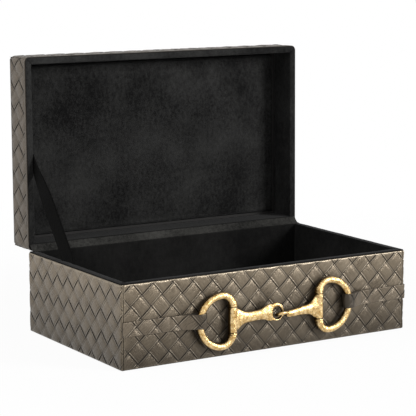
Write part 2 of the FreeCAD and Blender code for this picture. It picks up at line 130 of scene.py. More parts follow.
fibreboard, tree, shader = new_material("fibreboard", roughness=0.85)
place = place_coordinates(tree)
fibres = mottle(tree, place, scale=900.0)
board_tone = two_tones(tree, spread(tree, fibres, 0.3, 0.7), board_dark, board_brown)
tree.links.new(board_tone, shader.inputs["Base Color"])
tree.links.new(bump_normal(tree, fibres, distance=0.0002), shader.inputs["Normal"])
finish_node([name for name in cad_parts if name.endswith("_board")], fibreboard)


# ---- Front cover --------------------------------------------------------------------------
# Leather panel glued over the front board: pewter-brown strips, woven on the slant over and
# under each other, with bevelled long edges. Its own edges are rolled in against the board.

mm = 0.001
front_panel_x = 149.8
front_y = -89.0
cover_bottom = 0.3
cover_top = 75.0
cover_thickness = 1.0
front_weave_anchor = (111.4, 67.9)
front_weave_tilt = -4.0

weave_pitch = 20.2
weave_groove = 0.72
weave_arch = 0.58
weave_arch_power = 2.4
weave_pillow = 0.12
weave_line = 0.2
weave_line_place = 0.13
weave_line_reach = 0.03
weave_tilt = 0.08
weave_lift = 0.06
weave_seeds = (7919, 104729)
weave_reach = 0.54
strip_shift = 40
lip_reach = 0.02
lip_shade = 0.95
shoulder_reach = 0.06
shoulder_shade = 0.25
end_shade = 0.4
line_shade = 0.7
crest_fade = 4
weave_stops = (0.0, 0.014, 0.05, 0.1, 0.13, 0.16, 0.32, 0.5, 0.68, 0.84, 0.87, 0.9, 0.95, 0.986)
roll_radius = 1.6
roll_rows = (0.1, 0.3, 0.6, 1.0, 1.3)

leather_dark = (0.122, 0.095, 0.065, 1.0)
leather_light = (0.240, 0.195, 0.139, 1.0)
# Burnish with a painted highlight for the strips' crests, then painted shade in the grooves and at the foot.
leather_crest = (0.43, 0.365, 0.275, 1.0)
leather_groove_shade = (0.009, 0.007, 0.005, 1.0)
leather_foot_shade = 0.36
leather_burnish_and_highlight = 0.34
leather_gloss = (0.25, 0.36)


def cut(bm, point, normal, clear=False):
    """Cut a mesh along a plane, and with clear throw away the side that the normal points to."""
    bmesh.ops.bisect_plane(
        bm, geom=bm.verts[:] + bm.edges[:] + bm.faces[:], dist=1e-5,
        plane_co=point, plane_no=normal, clear_outer=clear)


def strip_depth(along, across):
    """Depth of a woven strip's face below its crown at a place on one crossing, each from 0 to 1."""
    arch = weave_arch * abs(2 * along - 1) ** weave_arch_power
    pillow = weave_pillow * (2 * across - 1) ** 2
    off_line = abs(min(across, 1 - across) - weave_line_place)
    line = weave_line * max(0, 1 - off_line / weave_line_reach)
    return arch + pillow + line


def woven_sheet(low, high, anchor, tilt, stops=weave_stops):
    """Flat woven sheet in X and Y, crowns at Z 0, between two corners.

    The strips cross on a square lattice that stands on its corner, turned by tilt, and anchor is
    one of its crossings. Each face carries UVs along and across its strip, in metres. stops are the
    rows of points across one crossing.
    """
    side = weave_pitch / math.sqrt(2)
    turn = Matrix.Rotation(math.radians(45 + tilt), 2)
    corners = [Vector((x, y)) for x in (low[0], high[0]) for y in (low[1], high[1])]
    crossings = [turn.inverted() @ (corner - Vector(anchor)) / side for corner in corners]
    u0, v0 = (math.floor(min(c[k] for c in crossings)) for k in (0, 1))
    u1, v1 = (math.ceil(max(c[k] for c in crossings)) for k in (0, 1))
    bm = bmesh.new()
    bmesh.ops.create_grid(bm, x_segments=u1 - u0, y_segments=v1 - v0, size=0.5)
    bmesh.ops.scale(bm, vec=(u1 - u0, v1 - v0, 1), verts=bm.verts)
    bmesh.ops.translate(bm, vec=((u0 + u1) / 2, (v0 + v1) / 2, 0), verts=bm.verts)

    def flat(u, v):
        return turn @ Vector((u, v)) * side + Vector(anchor)

    def is_outside(face):
        middle = face.calc_center_median()
        x, y = flat(middle.x, middle.y)
        reach = weave_pitch * weave_reach
        return not (low[0] - reach < x < high[0] + reach and low[1] - reach < y < high[1] + reach)

    bmesh.ops.delete(bm, geom=[face for face in bm.faces if is_outside(face)], context="FACES")
    count = len(stops)
    bmesh.ops.subdivide_edges(bm, edges=bm.edges[:], cuts=count - 1, use_grid_fill=True)
    relief = bm.verts.layers.float.new("relief")
    crest = bm.verts.layers.float.new("crest")
    grain = bm.loops.layers.uv.new("strip")
    for face in bm.faces:
        middle = face.calc_center_median()
        i, j = math.floor(middle.x), math.floor(middle.y)
        runs_up = (i + j) % 2 == 1
        for loop in face.loops:
            u, v = loop.vert.co.x, loop.vert.co.y
            along, across = (u, v) if runs_up else (v + strip_shift, u)
            loop[grain].uv = (along * side * mm, across * side * mm)
    for vert in bm.verts:
        steps = [round(vert.co.x * count), round(vert.co.y * count)]
        (i, fi), (j, fj) = (divmod(step, count) for step in steps)
        u, v = stops[fi], stops[fj]
        runs_up = (i + j) % 2 == 1
        along, across = (u, v) if runs_up else (v, u)
        depth = strip_depth(along, across)
        chance = random.Random(i * weave_seeds[0] + j * weave_seeds[1])
        depth += chance.uniform(0, weave_lift)
        tilt_u, tilt_v = (chance.uniform(-weave_tilt, weave_tilt) for k in (0, 1))
        depth += tilt_u * (2 * u - 1) + tilt_v * (2 * v - 1)
        # relief is painted shade: full in the grooves, less on their lips and shoulders, at the strip ends
        # and on the pressed lines.
        in_groove = not fi or not fj
        depth = weave_groove if in_groove else min(weave_groove, max(0, depth))
        edge, end = min(across, 1 - across), min(along, 1 - along)
        on_line = abs(edge - weave_line_place) < weave_line_reach / 2
        vert[relief] = 1.0 if in_groove else max(
            lip_shade * (edge < lip_reach), shoulder_shade * (edge < shoulder_reach),
            end_shade * (end < lip_reach), line_shade * on_line)
        # crest is a burnish with a painted highlight, between a strip's edge and its pressed line.
        on_crest = lip_reach < edge < weave_line_place - weave_line_reach / 2
        vert[crest] = on_crest * (1 - abs(2 * along - 1) ** crest_fade)
        x, y = flat(i + u, j + v)
        vert.co = (x, y, -depth)
    for point, normal in (
            ((low[0], 0, 0), (-1, 0, 0)), ((high[0], 0, 0), (1, 0, 0)),
            ((0, low[1], 0), (0, -1, 0)), ((0, high[1], 0), (0, 1, 0))):
        cut(bm, point, normal, clear=True)
    return bm


def cut_round(bm, low, high, offset):
    """Cut a flat sheet along all four sides of a rectangle, at an offset into it."""
    cut(bm, (low[0] + offset, 0, 0), (1, 0, 0))
    cut(bm, (high[0] - offset, 0, 0), (1, 0, 0))
    cut(bm, (0, low[1] + offset, 0), (0, 1, 0))
    cut(bm, (0, high[1] - offset, 0), (0, 1, 0))


def roll_edges(bm, low, high, thickness, radius=roll_radius, wear_and_highlight=0.7, edge_shadow=0.0):
    """Round a flat sheet's four edges down to its back, paint a highlight and a shadow on them, and close
    it.
    """
    for row in roll_rows:
        cut_round(bm, low, high, row * radius)
    relief, crest = (bm.verts.layers.float[key] for key in ("relief", "crest"))
    for vert in bm.verts:
        x, y, z = vert.co
        inset = max(0, min(x - low[0], high[0] - x, y - low[1], high[1] - y))
        if inset < radius:
            drop = thickness * (1 - math.sqrt(1 - (1 - inset / radius) ** 2))
            vert.co.z = max(-thickness, z * inset / radius - drop)
            # Painted shadow along the edge, and a painted highlight on it through the crest.
            vert[relief] = max(vert[relief] * inset / radius, edge_shadow * (1 - inset / radius))
            vert[crest] = wear_and_highlight
    edge = [e for e in bm.edges if e.is_boundary]
    bmesh.ops.edgeloop_fill(bm, edges=edge)


def make_piece(name, bm, material, smooth=True):
    """A mesh in millimetres as an object in metres, with its place in its mesh."""
    bmesh.ops.recalc_face_normals(bm, faces=bm.faces[:])
    bmesh.ops.scale(bm, vec=(mm, mm, mm), verts=bm.verts)
    for face in bm.faces:
        face.smooth = smooth
    mesh = bpy.data.meshes.new(name)
    bm.to_mesh(mesh)
    bm.free()
    mesh.materials.append(material)
    piece = bpy.data.objects.new(name, mesh)
    bpy.context.scene.collection.objects.link(piece)
    return piece


def new_group(name, inputs, outputs):
    """Shader node group with named value, vector and colour sockets."""
    group = bpy.data.node_groups.new(name, "ShaderNodeTree")
    kinds = {"value": "NodeSocketFloat", "vector": "NodeSocketVector", "colour": "NodeSocketColor"}
    for key, kind in inputs.items():
        group.interface.new_socket(key, in_out="INPUT", socket_type=kinds[kind])
    for key, kind in outputs.items():
        group.interface.new_socket(key, in_out="OUTPUT", socket_type=kinds[kind])
    return group, group.nodes.new("NodeGroupInput").outputs, group.nodes.new("NodeGroupOutput").inputs


def arithmetic(tree, operation, a, b):
    """Sum, product or larger one of two values."""
    return add_node(tree, "ShaderNodeMath", {0: a, 1: b}, operation=operation).outputs[0]


# Pressed leather: pores and creases that run along each strip, and a tone that drifts.
leather_grain, inner, outer = new_group(
    "leather_grain", {"Strip": "vector", "Place": "vector"}, {"Height": "value", "Tone": "value"})
stretched = add_node(
    leather_grain, "ShaderNodeMapping", {"Vector": inner["Strip"], "Scale": (1.0, 5.0, 1.0)})
creases = mottle(leather_grain, stretched.outputs["Vector"], scale=420.0, detail=5.0, roughness=0.65)
pores = add_node(leather_grain, "ShaderNodeTexVoronoi", {"Vector": inner["Place"], "Scale": 1300.0})
pore_height = spread(leather_grain, pores.outputs["Distance"], 0.0, 0.6)
drift = mottle(leather_grain, inner["Place"], scale=55.0, detail=3.0)
grain_height = arithmetic(leather_grain, "ADD", creases, pore_height)
tone = arithmetic(leather_grain, "ADD", creases, drift)
leather_grain.links.new(grain_height, outer["Height"])
leather_grain.links.new(spread(leather_grain, tone, 0.7, 1.3), outer["Tone"])


def pressed_leather(name, dark, light, burnish_and_highlight, gloss, foot, foot_shade_reach):
    """Satin leather with burnish and a painted highlight on the strips' edges, and painted shade in the
    grooves and towards its foot.
    """
    material, tree, shader = new_material(name, metallic=0.55, specular_ior_level=0.35)
    strip = add_node(tree, "ShaderNodeUVMap", uv_map="strip").outputs["UV"]
    place = place_coordinates(tree)
    grain = add_node(
        tree, "ShaderNodeGroup", {"Strip": strip, "Place": place}, node_tree=leather_grain).outputs
    depth = add_node(tree, "ShaderNodeAttribute", attribute_name="relief").outputs["Fac"]
    crest = add_node(tree, "ShaderNodeAttribute", attribute_name="crest").outputs["Fac"]
    level = add_node(tree, "ShaderNodeSeparateXYZ", {"Vector": place}).outputs["Z"]
    face = two_tones(tree, grain["Tone"], dark, light)
    # Burnish with a painted highlight on the crests.
    wear_and_highlight = two_tones(tree, spread(tree, crest, 0.0, 1.0, 0.0, burnish_and_highlight), face, leather_crest)
    # Painted shade: the colour darkens towards the foot, down to the share foot at Z 0.
    shade = spread(tree, level, 0.0, foot_shade_reach, foot, 1.0)
    shaded = add_node(tree, "ShaderNodeVectorMath", {0: wear_and_highlight, "Scale": shade}, operation="SCALE")
    # Painted shade in the grooves.
    grooves = spread(tree, depth, 0.05, 0.85)
    colour = two_tones(tree, grooves, shaded.outputs["Vector"], leather_groove_shade)
    tree.links.new(colour, shader.inputs["Base Color"])
    face_rough = spread(tree, grain["Tone"], 0.0, 1.0, *gloss)
    groove_rough = spread(tree, depth, 0.4, 1.0, 0.0, 0.3)
    tree.links.new(arithmetic(tree, "ADD", face_rough, groove_rough), shader.inputs["Roughness"])
    tree.links.new(bump_normal(tree, grain["Height"], distance=0.00009), shader.inputs["Normal"])
    return material


woven_leather = pressed_leather(
    "woven_leather", leather_dark, leather_light, leather_burnish_and_highlight, leather_gloss, leather_foot_shade, cover_top * mm)

low = (-front_panel_x, cover_bottom)
high = (front_panel_x, cover_top)
sheet = woven_sheet(low, high, front_weave_anchor, front_weave_tilt)
roll_edges(sheet, low, high, cover_thickness)
for vert in sheet.verts:
    x, z, out = vert.co
    vert.co = (x, front_y - out, z)
front_cover = make_piece("front_cover", sheet, woven_leather)
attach(front_cover, "base")
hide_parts("base_front_cover")


# ---- Side cover ---------------------------------------------------------------------------
# One long strip of the same leather, glued round the right side, the back and the left side.
# Both ends turn the front corners by a few millimetres and meet the front panel in a seam.

base_x = 152.5
base_y = 89.0
base_corner_radius = 2.0
side_turn = 2.5
side_weave_anchor_y = 30.2
side_weave_anchor_z = 64.0
side_weave_tilt = 3.4
bend_rows = 5


def plan_route(points):
    """Runs and arcs in plan from (x, y, corner radius) points, as (length, start, heading, bend)."""
    spots = [Vector(point[:2]) for point in points]
    headings = [b - a for a, b in zip(spots, spots[1:])]
    pieces = []
    start = spots[0]
    for k, heading in enumerate(headings):
        angle = math.atan2(heading.y, heading.x)
        end = spots[k + 1]
        if k + 1 < len(headings):
            turn = math.remainder(math.atan2(headings[k + 1].y, headings[k + 1].x) - angle, math.tau)
            radius = points[k + 1][2]
            trim = radius * math.tan(abs(turn) / 2)
            end = end - heading.normalized() * trim
        pieces.append(((end - start).length, start, angle, 0.0))
        if k + 1 < len(headings):
            pieces.append((radius * abs(turn), end, angle, math.copysign(1 / radius, turn)))
            start = spots[k + 1] + headings[k + 1].normalized() * trim
    return pieces


def route_place(route, s):
    """Point on a route and the direction to its right, at a length along it."""
    for length, start, angle, bend in route:
        if s <= length or (length, start, angle, bend) == route[-1]:
            break
        s -= length
    if bend == 0:
        point = start + Vector((math.cos(angle), math.sin(angle))) * s
    else:
        new = angle + bend * s
        point = start + Vector((math.sin(new) - math.sin(angle), math.cos(angle) - math.cos(new))) / bend
        angle = new
    return point, Vector((math.sin(angle), -math.cos(angle)))


def bend_sheet(bm, route, offset=0.0):
    """Stand a flat sheet upright along a route in plan, its face to the right of the route."""
    s = 0.0
    for length, start, angle, bend in route:
        if bend:
            for k in range(bend_rows + 1):
                cut(bm, (s + length * k / bend_rows, 0, 0), (1, 0, 0))
        s += length
    for vert in bm.verts:
        along, z, out = vert.co
        point, right = route_place(route, along)
        spot = point + right * (out + offset)
        vert.co = (spot.x, spot.y, z)


turn_x = base_x - side_turn
route = plan_route([
    (turn_x, -base_y, 0), (base_x, -base_y, base_corner_radius), (base_x, base_y, base_corner_radius),
    (-base_x, base_y, base_corner_radius), (-base_x, -base_y, base_corner_radius), (-turn_x, -base_y, 0)])
length = sum(piece[0] for piece in route)
low = (0.0, cover_bottom)
high = (length, cover_top)
left_side_start = sum(piece[0] for piece in route[:6])  # three runs and three corners before it
anchor = (left_side_start + base_y - base_corner_radius - side_weave_anchor_y, side_weave_anchor_z)
sheet = woven_sheet(low, high, anchor, side_weave_tilt)
roll_edges(sheet, low, high, cover_thickness)
bend_sheet(sheet, route)
side_cover = make_piece("side_cover", sheet, woven_leather)
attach(side_cover, "base")
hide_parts("base_side_cover")


# ---- Felt under the base ------------------------------------------------------------------
# Thin black felt glued under the bottom board, so that the box stands softly. It is cut a little
# smaller than the box, and its edges are pressed in.

felt_x = 151.0
felt_y = 87.5
felt_thickness = 1.0
felt_edge = 0.35
felt_dark = (0.010, 0.010, 0.010, 1.0)
felt_light = (0.030, 0.030, 0.029, 1.0)

# Napped cloth: soft clouds where the pile is brushed either way, and short fibres.
nap, inner, outer = new_group(
    "nap", {"Place": "vector", "Clouds": "value", "Fibres": "value"}, {"Height": "value", "Tone": "value"})
combed = add_node(nap, "ShaderNodeMapping", {"Vector": inner["Place"], "Scale": (1.0, 1.0, 0.7)})
clouds = add_node(nap, "ShaderNodeTexNoise", {
    "Vector": combed.outputs["Vector"], "Scale": inner["Clouds"], "Detail": 5.0, "Roughness": 0.72})
fibres = add_node(nap, "ShaderNodeTexNoise", {
    "Vector": inner["Place"], "Scale": inner["Fibres"], "Detail": 3.0, "Roughness": 0.7})
zones = mottle(nap, inner["Place"], scale=17.0, detail=2.0)
pile_tone = add_node(nap, "ShaderNodeMix", {0: 0.45, 2: clouds.outputs["Fac"], 3: fibres.outputs["Fac"]})
nap_tone = add_node(nap, "ShaderNodeMix", {0: 0.4, 2: pile_tone.outputs[0], 3: zones})
nap.links.new(spread(nap, nap_tone.outputs[0], 0.41, 0.61), outer["Tone"])
nap.links.new(fibres.outputs["Fac"], outer["Height"])


def napped_cloth(name, dark, light, clouds, fibres, relief, **sockets):
    """Matt cloth with a brushed pile."""
    material, tree, shader = new_material(name, **sockets)
    place = place_coordinates(tree)
    pile = add_node(
        tree, "ShaderNodeGroup", {"Place": place, "Clouds": clouds, "Fibres": fibres}, node_tree=nap)
    tree.links.new(two_tones(tree, pile.outputs["Tone"], dark, light), shader.inputs["Base Color"])
    tree.links.new(bump_normal(tree, pile.outputs["Height"], relief), shader.inputs["Normal"])
    return material


def bevel(bm, edges, offset, segments):
    """Round edges of a mesh."""
    bmesh.ops.bevel(
        bm, geom=edges, offset=offset, segments=segments, profile=0.5, affect="EDGES", material=-1)


def solid_box(low, high):
    """Box between two corners, in millimetres."""
    bm = bmesh.new()
    bmesh.ops.create_cube(bm, size=1.0)
    bmesh.ops.scale(bm, vec=[b - a for a, b in zip(low, high)], verts=bm.verts)
    bmesh.ops.translate(bm, vec=[(a + b) / 2 for a, b in zip(low, high)], verts=bm.verts)
    return bm


black_felt = napped_cloth(
    "black_felt", felt_dark, felt_light, clouds=60.0, fibres=1500.0, relief=0.0003, roughness=0.95)
sheet = solid_box((-felt_x, -felt_y, 0), (felt_x, felt_y, felt_thickness))
bevel(sheet, sheet.edges[:], felt_edge, 2)
felt = make_piece("felt", sheet, black_felt, smooth=False)
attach(felt, "base")
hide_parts("base_felt")


# ---- Base linings -------------------------------------------------------------------------
# Black suede on each wall of the base, folded over the rim and glued down just short of the
# leather. The four strips are mitred in the corners, and the fold over the board is soft.

base_core = (-151.5, 151.5, -88.0, 88.0)
base_flange = 7.0
base_rim = (75.0, 76.0)
base_wall_foot = 7.0
base_core_radius = 1.0
lining_thickness = 1.0
rim_inner_radius = 0.95
rim_outer_radius = 0.75
lining_rows = 36
lining_corner_rows = 6
lining_wall_rows = 8
lining_softness = 0.16
lining_softness_size = 9.0
lining_seed = 1

# A darker copy of the lid's suede: painted shade for the inside of the base, the floor pad and the lid's
# back wall, which get less light.
base_suede_dark = (0.0020, 0.0020, 0.0019, 1.0)
base_suede_light = (0.0120, 0.0118, 0.0112, 1.0)

base_suede = napped_cloth(
    "base_suede", base_suede_dark, base_suede_light, clouds=240.0, fibres=1000.0, relief=0.00022,
    roughness=0.95, sheen_weight=0.03, sheen_roughness=0.5, specular_ior_level=0.1)


def soften(bm, amount, size):
    """Push every point about a little, as cloth glued on by hand lies."""
    for vert in bm.verts:
        vert.co += noise.noise_vector(vert.co / size) * amount


def within(value, low, high):
    """A value held between two others."""
    return min(max(value, low), high)


def round_plan_corners(bm, core, radius):
    """Pull the corners of a flat ring of cloth in to the round corners of its board."""
    x0, x1, y0, y1 = core
    for vert in bm.verts:
        near_x = within(vert.co.x, x0 + radius, x1 - radius)
        near_y = within(vert.co.y, y0 + radius, y1 - radius)
        near = Vector((near_x, near_y))
        gap = vert.co.xy - near
        if gap.length > radius:
            vert.co.x, vert.co.y = near + gap.normalized() * radius


def wall_run(core, side):
    """Length of one wall of a box with these sides in plan."""
    x0, x1, y0, y1 = core
    return x1 - x0 if side in ("front", "back") else y1 - y0


def lining_strip(core, flange, rim, foot, side, radius):
    """Suede over one wall: a flange on the rim and a wall down to foot, mitred at both ends.

    rim is the flange's underside and top face, and foot the far edge of the wall. The strip is made
    along X with depth along Y from the outer edge of the board, and then turned to its side.
    """
    x0, x1, y0, y1 = core
    quarter = {"front": 0, "right": 1, "back": 2, "left": 3}[side]
    length = wall_run(core, side)
    seat, face = rim
    inner = flange - lining_thickness
    outline = [(0, seat), (0, face), (flange, face), (flange, foot), (inner, foot), (inner, seat)]
    bm = bmesh.new()
    verts = [bm.verts.new((-length / 2, d, z)) for d, z in outline]
    end = bm.faces.new(verts)
    swept = bmesh.ops.extrude_face_region(bm, geom=[end])
    moved = [item for item in swept["geom"] if isinstance(item, bmesh.types.BMVert)]
    bmesh.ops.translate(bm, vec=(length, 0, 0), verts=moved)

    def along(d, z):
        line = Vector((d, z))
        return [e for e in bm.edges if all((v.co.yz - line).length < 1e-4 for v in e.verts)]

    bevel(bm, along(flange, face), rim_inner_radius, 4)
    bevel(bm, along(0, face), rim_outer_radius, 3)
    for k in range(1, lining_rows):
        cut(bm, (length * (k / lining_rows - 0.5), 0, 0), (1, 0, 0))
    for k in range(1, lining_corner_rows):
        for end_x in (-1, 1):
            cut(bm, (end_x * (length / 2 - k * radius / 3), 0, 0), (1, 0, 0))
    step = (foot - seat) / lining_wall_rows
    for k in range(1, lining_wall_rows):
        cut(bm, (0, 0, seat + k * step), (0, 0, 1))
    cut(bm, (-length / 2, 0, 0), (-1, 1, 0), clear=True)
    cut(bm, (length / 2, 0, 0), (1, 1, 0), clear=True)
    ends = [e for e in bm.edges if e.is_boundary]
    bmesh.ops.holes_fill(bm, edges=ends, sides=0)
    soften(bm, lining_softness, lining_softness_size)
    middle = Vector(((x0 + x1) / 2, (y0 + y1) / 2, 0))
    depth = (y1 - y0) / 2 if quarter % 2 == 0 else (x1 - x0) / 2
    bmesh.ops.translate(bm, vec=(0, -depth, 0), verts=bm.verts)
    bmesh.ops.rotate(bm, matrix=Matrix.Rotation(quarter * math.pi / 2, 3, "Z"), verts=bm.verts)
    bmesh.ops.translate(bm, vec=middle, verts=bm.verts)
    round_plan_corners(bm, core, radius)
    return bm


noise.seed_set(lining_seed)  # so that soften() gives the same cloth in every run
for side in ("front", "right", "back", "left"):
    strip = lining_strip(base_core, base_flange, base_rim, base_wall_foot, side, base_core_radius)
    name = "base_" + side + "_lining"
    piece = make_piece(name + "_suede", strip, base_suede)
    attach(piece, "base")
    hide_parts(name)


# ---- Floor pad ----------------------------------------------------------------------------
# Thin padded card covered in the same suede, dropped onto the floor. Its edges round off and
# the middle rises a little over the wadding.

floor_top = 7.0
floor_pad_half = (144.0, 80.5)
floor_pad_thickness = 2.5
floor_pad_crown = 0.5
floor_pad_edge = 1.5
pad_rows = (72, 42)
pad_easing = 0.35
pad_pressure = 4.0
pad_growth = 0.012
pad_stiffness = 2.0
pad_frames = 20
pad_cap = 0.35
crease_fade_in = 6


def pad_sheet(half_x, half_y, thickness, crown, edge, rows):
    """Cover of a padded card: the card at Z 0, a crown on top, and edges rounded down to it."""
    bm = bmesh.new()
    bmesh.ops.create_grid(bm, x_segments=rows[0], y_segments=rows[1], size=1.0)
    shoulder = thickness - crown
    for vert in bm.verts:
        place = []
        inset = []
        for share, half in ((vert.co.x, half_x), (vert.co.y, half_y)):
            eased = math.sin(share * math.pi / 2) * pad_easing + share * (1 - pad_easing)
            place.append(eased * half)
            inset.append(half - abs(eased * half))
        near = min(inset)
        slack_x, slack_y = (math.cos(share * math.pi / 2) for share in vert.co.xy)
        swell = crown * slack_x ** 0.5 * slack_y ** 0.5
        drop = shoulder if near <= 0 else 0.0
        if 0 < near < edge:
            drop = edge * (1 - math.sqrt(1 - (1 - near / edge) ** 2))
        vert.co = (*place, shoulder + swell - drop)
    return bm


def plump(piece, cap):
    """Blow a cover up as cloth held at its edges, and keep every point within cap of its place."""
    mesh = piece.data
    rest = [vert.co.copy() for vert in mesh.vertices]
    held = piece.vertex_groups.new(name="held")
    floor = min(co.z for co in rest)
    low_edges = [e for e in mesh.edges if min(rest[k].z for k in e.vertices) < floor + 1e-6]
    held.add(list({k for edge in low_edges for k in edge.vertices}), 1.0, "REPLACE")
    cloth = piece.modifiers.new("cloth", "CLOTH")
    cloth.settings.vertex_group_mass = "held"
    cloth.settings.use_pressure = True
    cloth.settings.uniform_pressure_force = pad_pressure
    cloth.settings.shrink_min = -pad_growth
    cloth.settings.bending_stiffness = pad_stiffness
    cloth.settings.effector_weights.gravity = 0
    scene = bpy.context.scene
    for step in range(1, pad_frames + 1):
        scene.frame_set(step)
    shaped = piece.evaluated_get(bpy.context.evaluated_depsgraph_get())
    moved = [vert.co.copy() for vert in shaped.to_mesh().vertices]
    shaped.to_mesh_clear()
    piece.modifiers.clear()
    piece.vertex_groups.clear()
    scene.frame_set(1)
    for vert, old, new in zip(mesh.vertices, rest, moved):
        shift = new - old
        if shift.length > cap:
            shift = shift.normalized() * cap
        vert.co = old + shift
    mesh.update()


def crease(piece, lines, depth, reach):
    """Shallow creases in a pad's cover along lines of points in plan, in millimetres."""
    bm = bmesh.new()
    bm.from_mesh(piece.data)
    bmesh.ops.subdivide_edges(bm, edges=bm.edges[:], cuts=1, use_grid_fill=True)
    for line in lines:
        for start, end in zip(line, line[1:]):
            start, way = Vector(start) * mm, (Vector(end) - Vector(start)) * mm
            for vert in bm.verts:
                share = (vert.co.xy - start).dot(way) / way.length_squared
                if 0 <= share <= 1:
                    gap = (vert.co.xy - start - way * share).length / (reach * mm)
                    fade = min(1, crease_fade_in * share, crease_fade_in * (1 - share))
                    vert.co.z -= depth * mm * fade * math.exp(-gap * gap)
    bm.to_mesh(piece.data)
    bm.free()


def close_card(piece):
    """Close the open back of a pad with its flat card."""
    bm = bmesh.new()
    bm.from_mesh(piece.data)
    bmesh.ops.edgeloop_fill(bm, edges=[edge for edge in bm.edges if edge.is_boundary])
    bmesh.ops.recalc_face_normals(bm, faces=bm.faces[:])
    bm.to_mesh(piece.data)
    bm.free()


cover = pad_sheet(*floor_pad_half, floor_pad_thickness, floor_pad_crown, floor_pad_edge, pad_rows)
bmesh.ops.translate(cover, vec=(0, 0, floor_top), verts=cover.verts)
floor_pad = make_piece("floor_pad", cover, base_suede)
plump(floor_pad, pad_cap * mm)
close_card(floor_pad)
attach(floor_pad, "base")
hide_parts("base_floor_pad")


# ---- Straps -------------------------------------------------------------------------------
# Two woven-embossed leather straps glued to the front. Each runs over a ring's tube, round it
# and back under itself; the left one stops at the corner seam and the right one turns its corner.

strap_low = 29.3
strap_high = 42.7
strap_thickness = 1.2
strap_edge = 0.5
strap_tube = {-1: -76.9, 1: 83.9}
strap_drift = {-1: 2.43, 1: 1.64}
strap_over = 8.8
strap_middle = strap_thickness / 2
strap_loop_radius = 4.1
strap_return = 25.0
strap_step = 3.0
strap_landing = 15.92
strap_slope = 25.0
strap_landing_radius = 6.0
strap_step_radius = 2.0
strap_seam_reach = 74.6
strap_corner_reach = 69.2
strap_corner_radius = 2.6
strap_tail = 8.0
strap_weave_anchor = {-1: (34.0, 36.0), 1: (46.0, 36.0)}
strap_weave_tilt = -4.0

strap_dark = (0.092, 0.072, 0.050, 1.0)
strap_light = (0.205, 0.167, 0.122, 1.0)
strap_foot_shade = 0.62
strap_edge_highlight = 0.1
strap_edge_shadow = 0.7
strap_fold_shade = {-1: 0.35, 1: 0.6}
strap_fold_start = 1.2
strap_fold_slope = 2.5
strap_fold_shift = 1.0
strap_fold_reach = 6.0
strap_fold_height = 3.0

strap_leather = pressed_leather(
    "strap_leather", strap_dark, strap_light, leather_burnish_and_highlight, leather_gloss, strap_foot_shade, strap_high * mm)


def strap_points(drift, tail):
    """Middle line of a strap in plan: from the tube towards the corner, and off the front."""
    turn = -drift - strap_loop_radius
    bend = strap_loop_radius * math.tan(math.radians(strap_slope / 2))
    return [
        (strap_return, strap_middle, 0), (turn, strap_middle, strap_loop_radius),
        (turn, strap_over, strap_loop_radius), (bend, strap_over, strap_loop_radius),
        (strap_landing, 3 * strap_middle, strap_landing_radius),
        (strap_return, 3 * strap_middle, strap_step_radius),
        (strap_return + strap_step, strap_middle, strap_step_radius)] + tail


for side, name, tail in (
        (-1, "left_strap", [(strap_seam_reach, strap_middle, 0)]),
        (1, "right_strap", [
            (strap_corner_reach, strap_middle, strap_corner_radius),
            (strap_corner_reach, -strap_tail, 0)])):
    middle_line = strap_points(strap_drift[side], tail)
    points = [(strap_tube[side] + side * s, front_y - n, r) for s, n, r in middle_line]
    route = plan_route(points[::side])
    length = sum(piece[0] for piece in route)
    low = (0.0, strap_low)
    high = (length, strap_high)
    sheet = woven_sheet(low, high, strap_weave_anchor[side], strap_weave_tilt)
    # A faint painted highlight and a painted shadow line along the strap's edges.
    roll_edges(sheet, low, high, strap_thickness, strap_edge, strap_edge_highlight, strap_edge_shadow)
    bend_sheet(sheet, route, strap_middle)
    relief = sheet.verts.layers.float["relief"]
    # Painted shade on the loop round the tube, which turns away from the lamp, deeper on the right strap.
    fold_x = strap_tube[side] - side * strap_fold_shift
    for vert in sheet.verts:
        near = strap_fold_start - abs(vert.co.x - fold_x) / strap_fold_reach
        if vert.co.y < front_y - strap_fold_height and near > 0:
            vert[relief] = max(vert[relief], strap_fold_shade[side] * min(1, strap_fold_slope * near))
    piece = make_piece(name + "_leather", sheet, strap_leather)
    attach(piece, "base")
    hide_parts(name)


# ---- Rings of the bit ---------------------------------------------------------------------
# Cast egg-shaped rings in antiqued gold. Both ends of the tube swell into a grooved collar
# against the barrel, and a thin spindle inside the barrel joins them.

bit_y = -93.7
ring_level = {-1: 33.2, 1: 34.8}
barrel_x = {-1: -43.0, 1: 50.0}
barrel_half = 11.7
ring_reach = 33.9
ring_loop = 23.0
ring_corner = 11.3
# Radius of the tube by the distance from its end: the grooved collar, and then the plain tube.
collar_profile = (
    (0.0, 4.15), (0.25, 4.45), (1.7, 4.5), (1.95, 4.35), (2.15, 3.95), (2.4, 3.95), (2.6, 4.3),
    (3.3, 4.25), (4.4, 3.95), (6.5, 3.55), (9.0, 3.35))
ring_step = 1.1
tube_sides = 28
spindle_radius = 1.9
spindle_overlap = 1.0
cast_roughness = 0.09
cast_lump = 5.0
reflection_side = 0.84
reflection_side_fade = 0.5
patina_hollow = 0.8
patina_and_reflection_passes = 5

gold_light = (0.95, 0.72, 0.38, 1.0)
gold_deep = (0.50, 0.30, 0.095, 1.0)
gold_pit = (0.20, 0.115, 0.042, 1.0)
gold_patina_and_reflection = (0.070, 0.040, 0.012, 1.0)

antique_gold, tree, shader = new_material("antique_gold", metallic=1.0)
place = place_coordinates(tree)
pits = mottle(tree, place, scale=1150.0, detail=4.0, roughness=0.7)
clouds = mottle(tree, place, scale=320.0, detail=3.0)
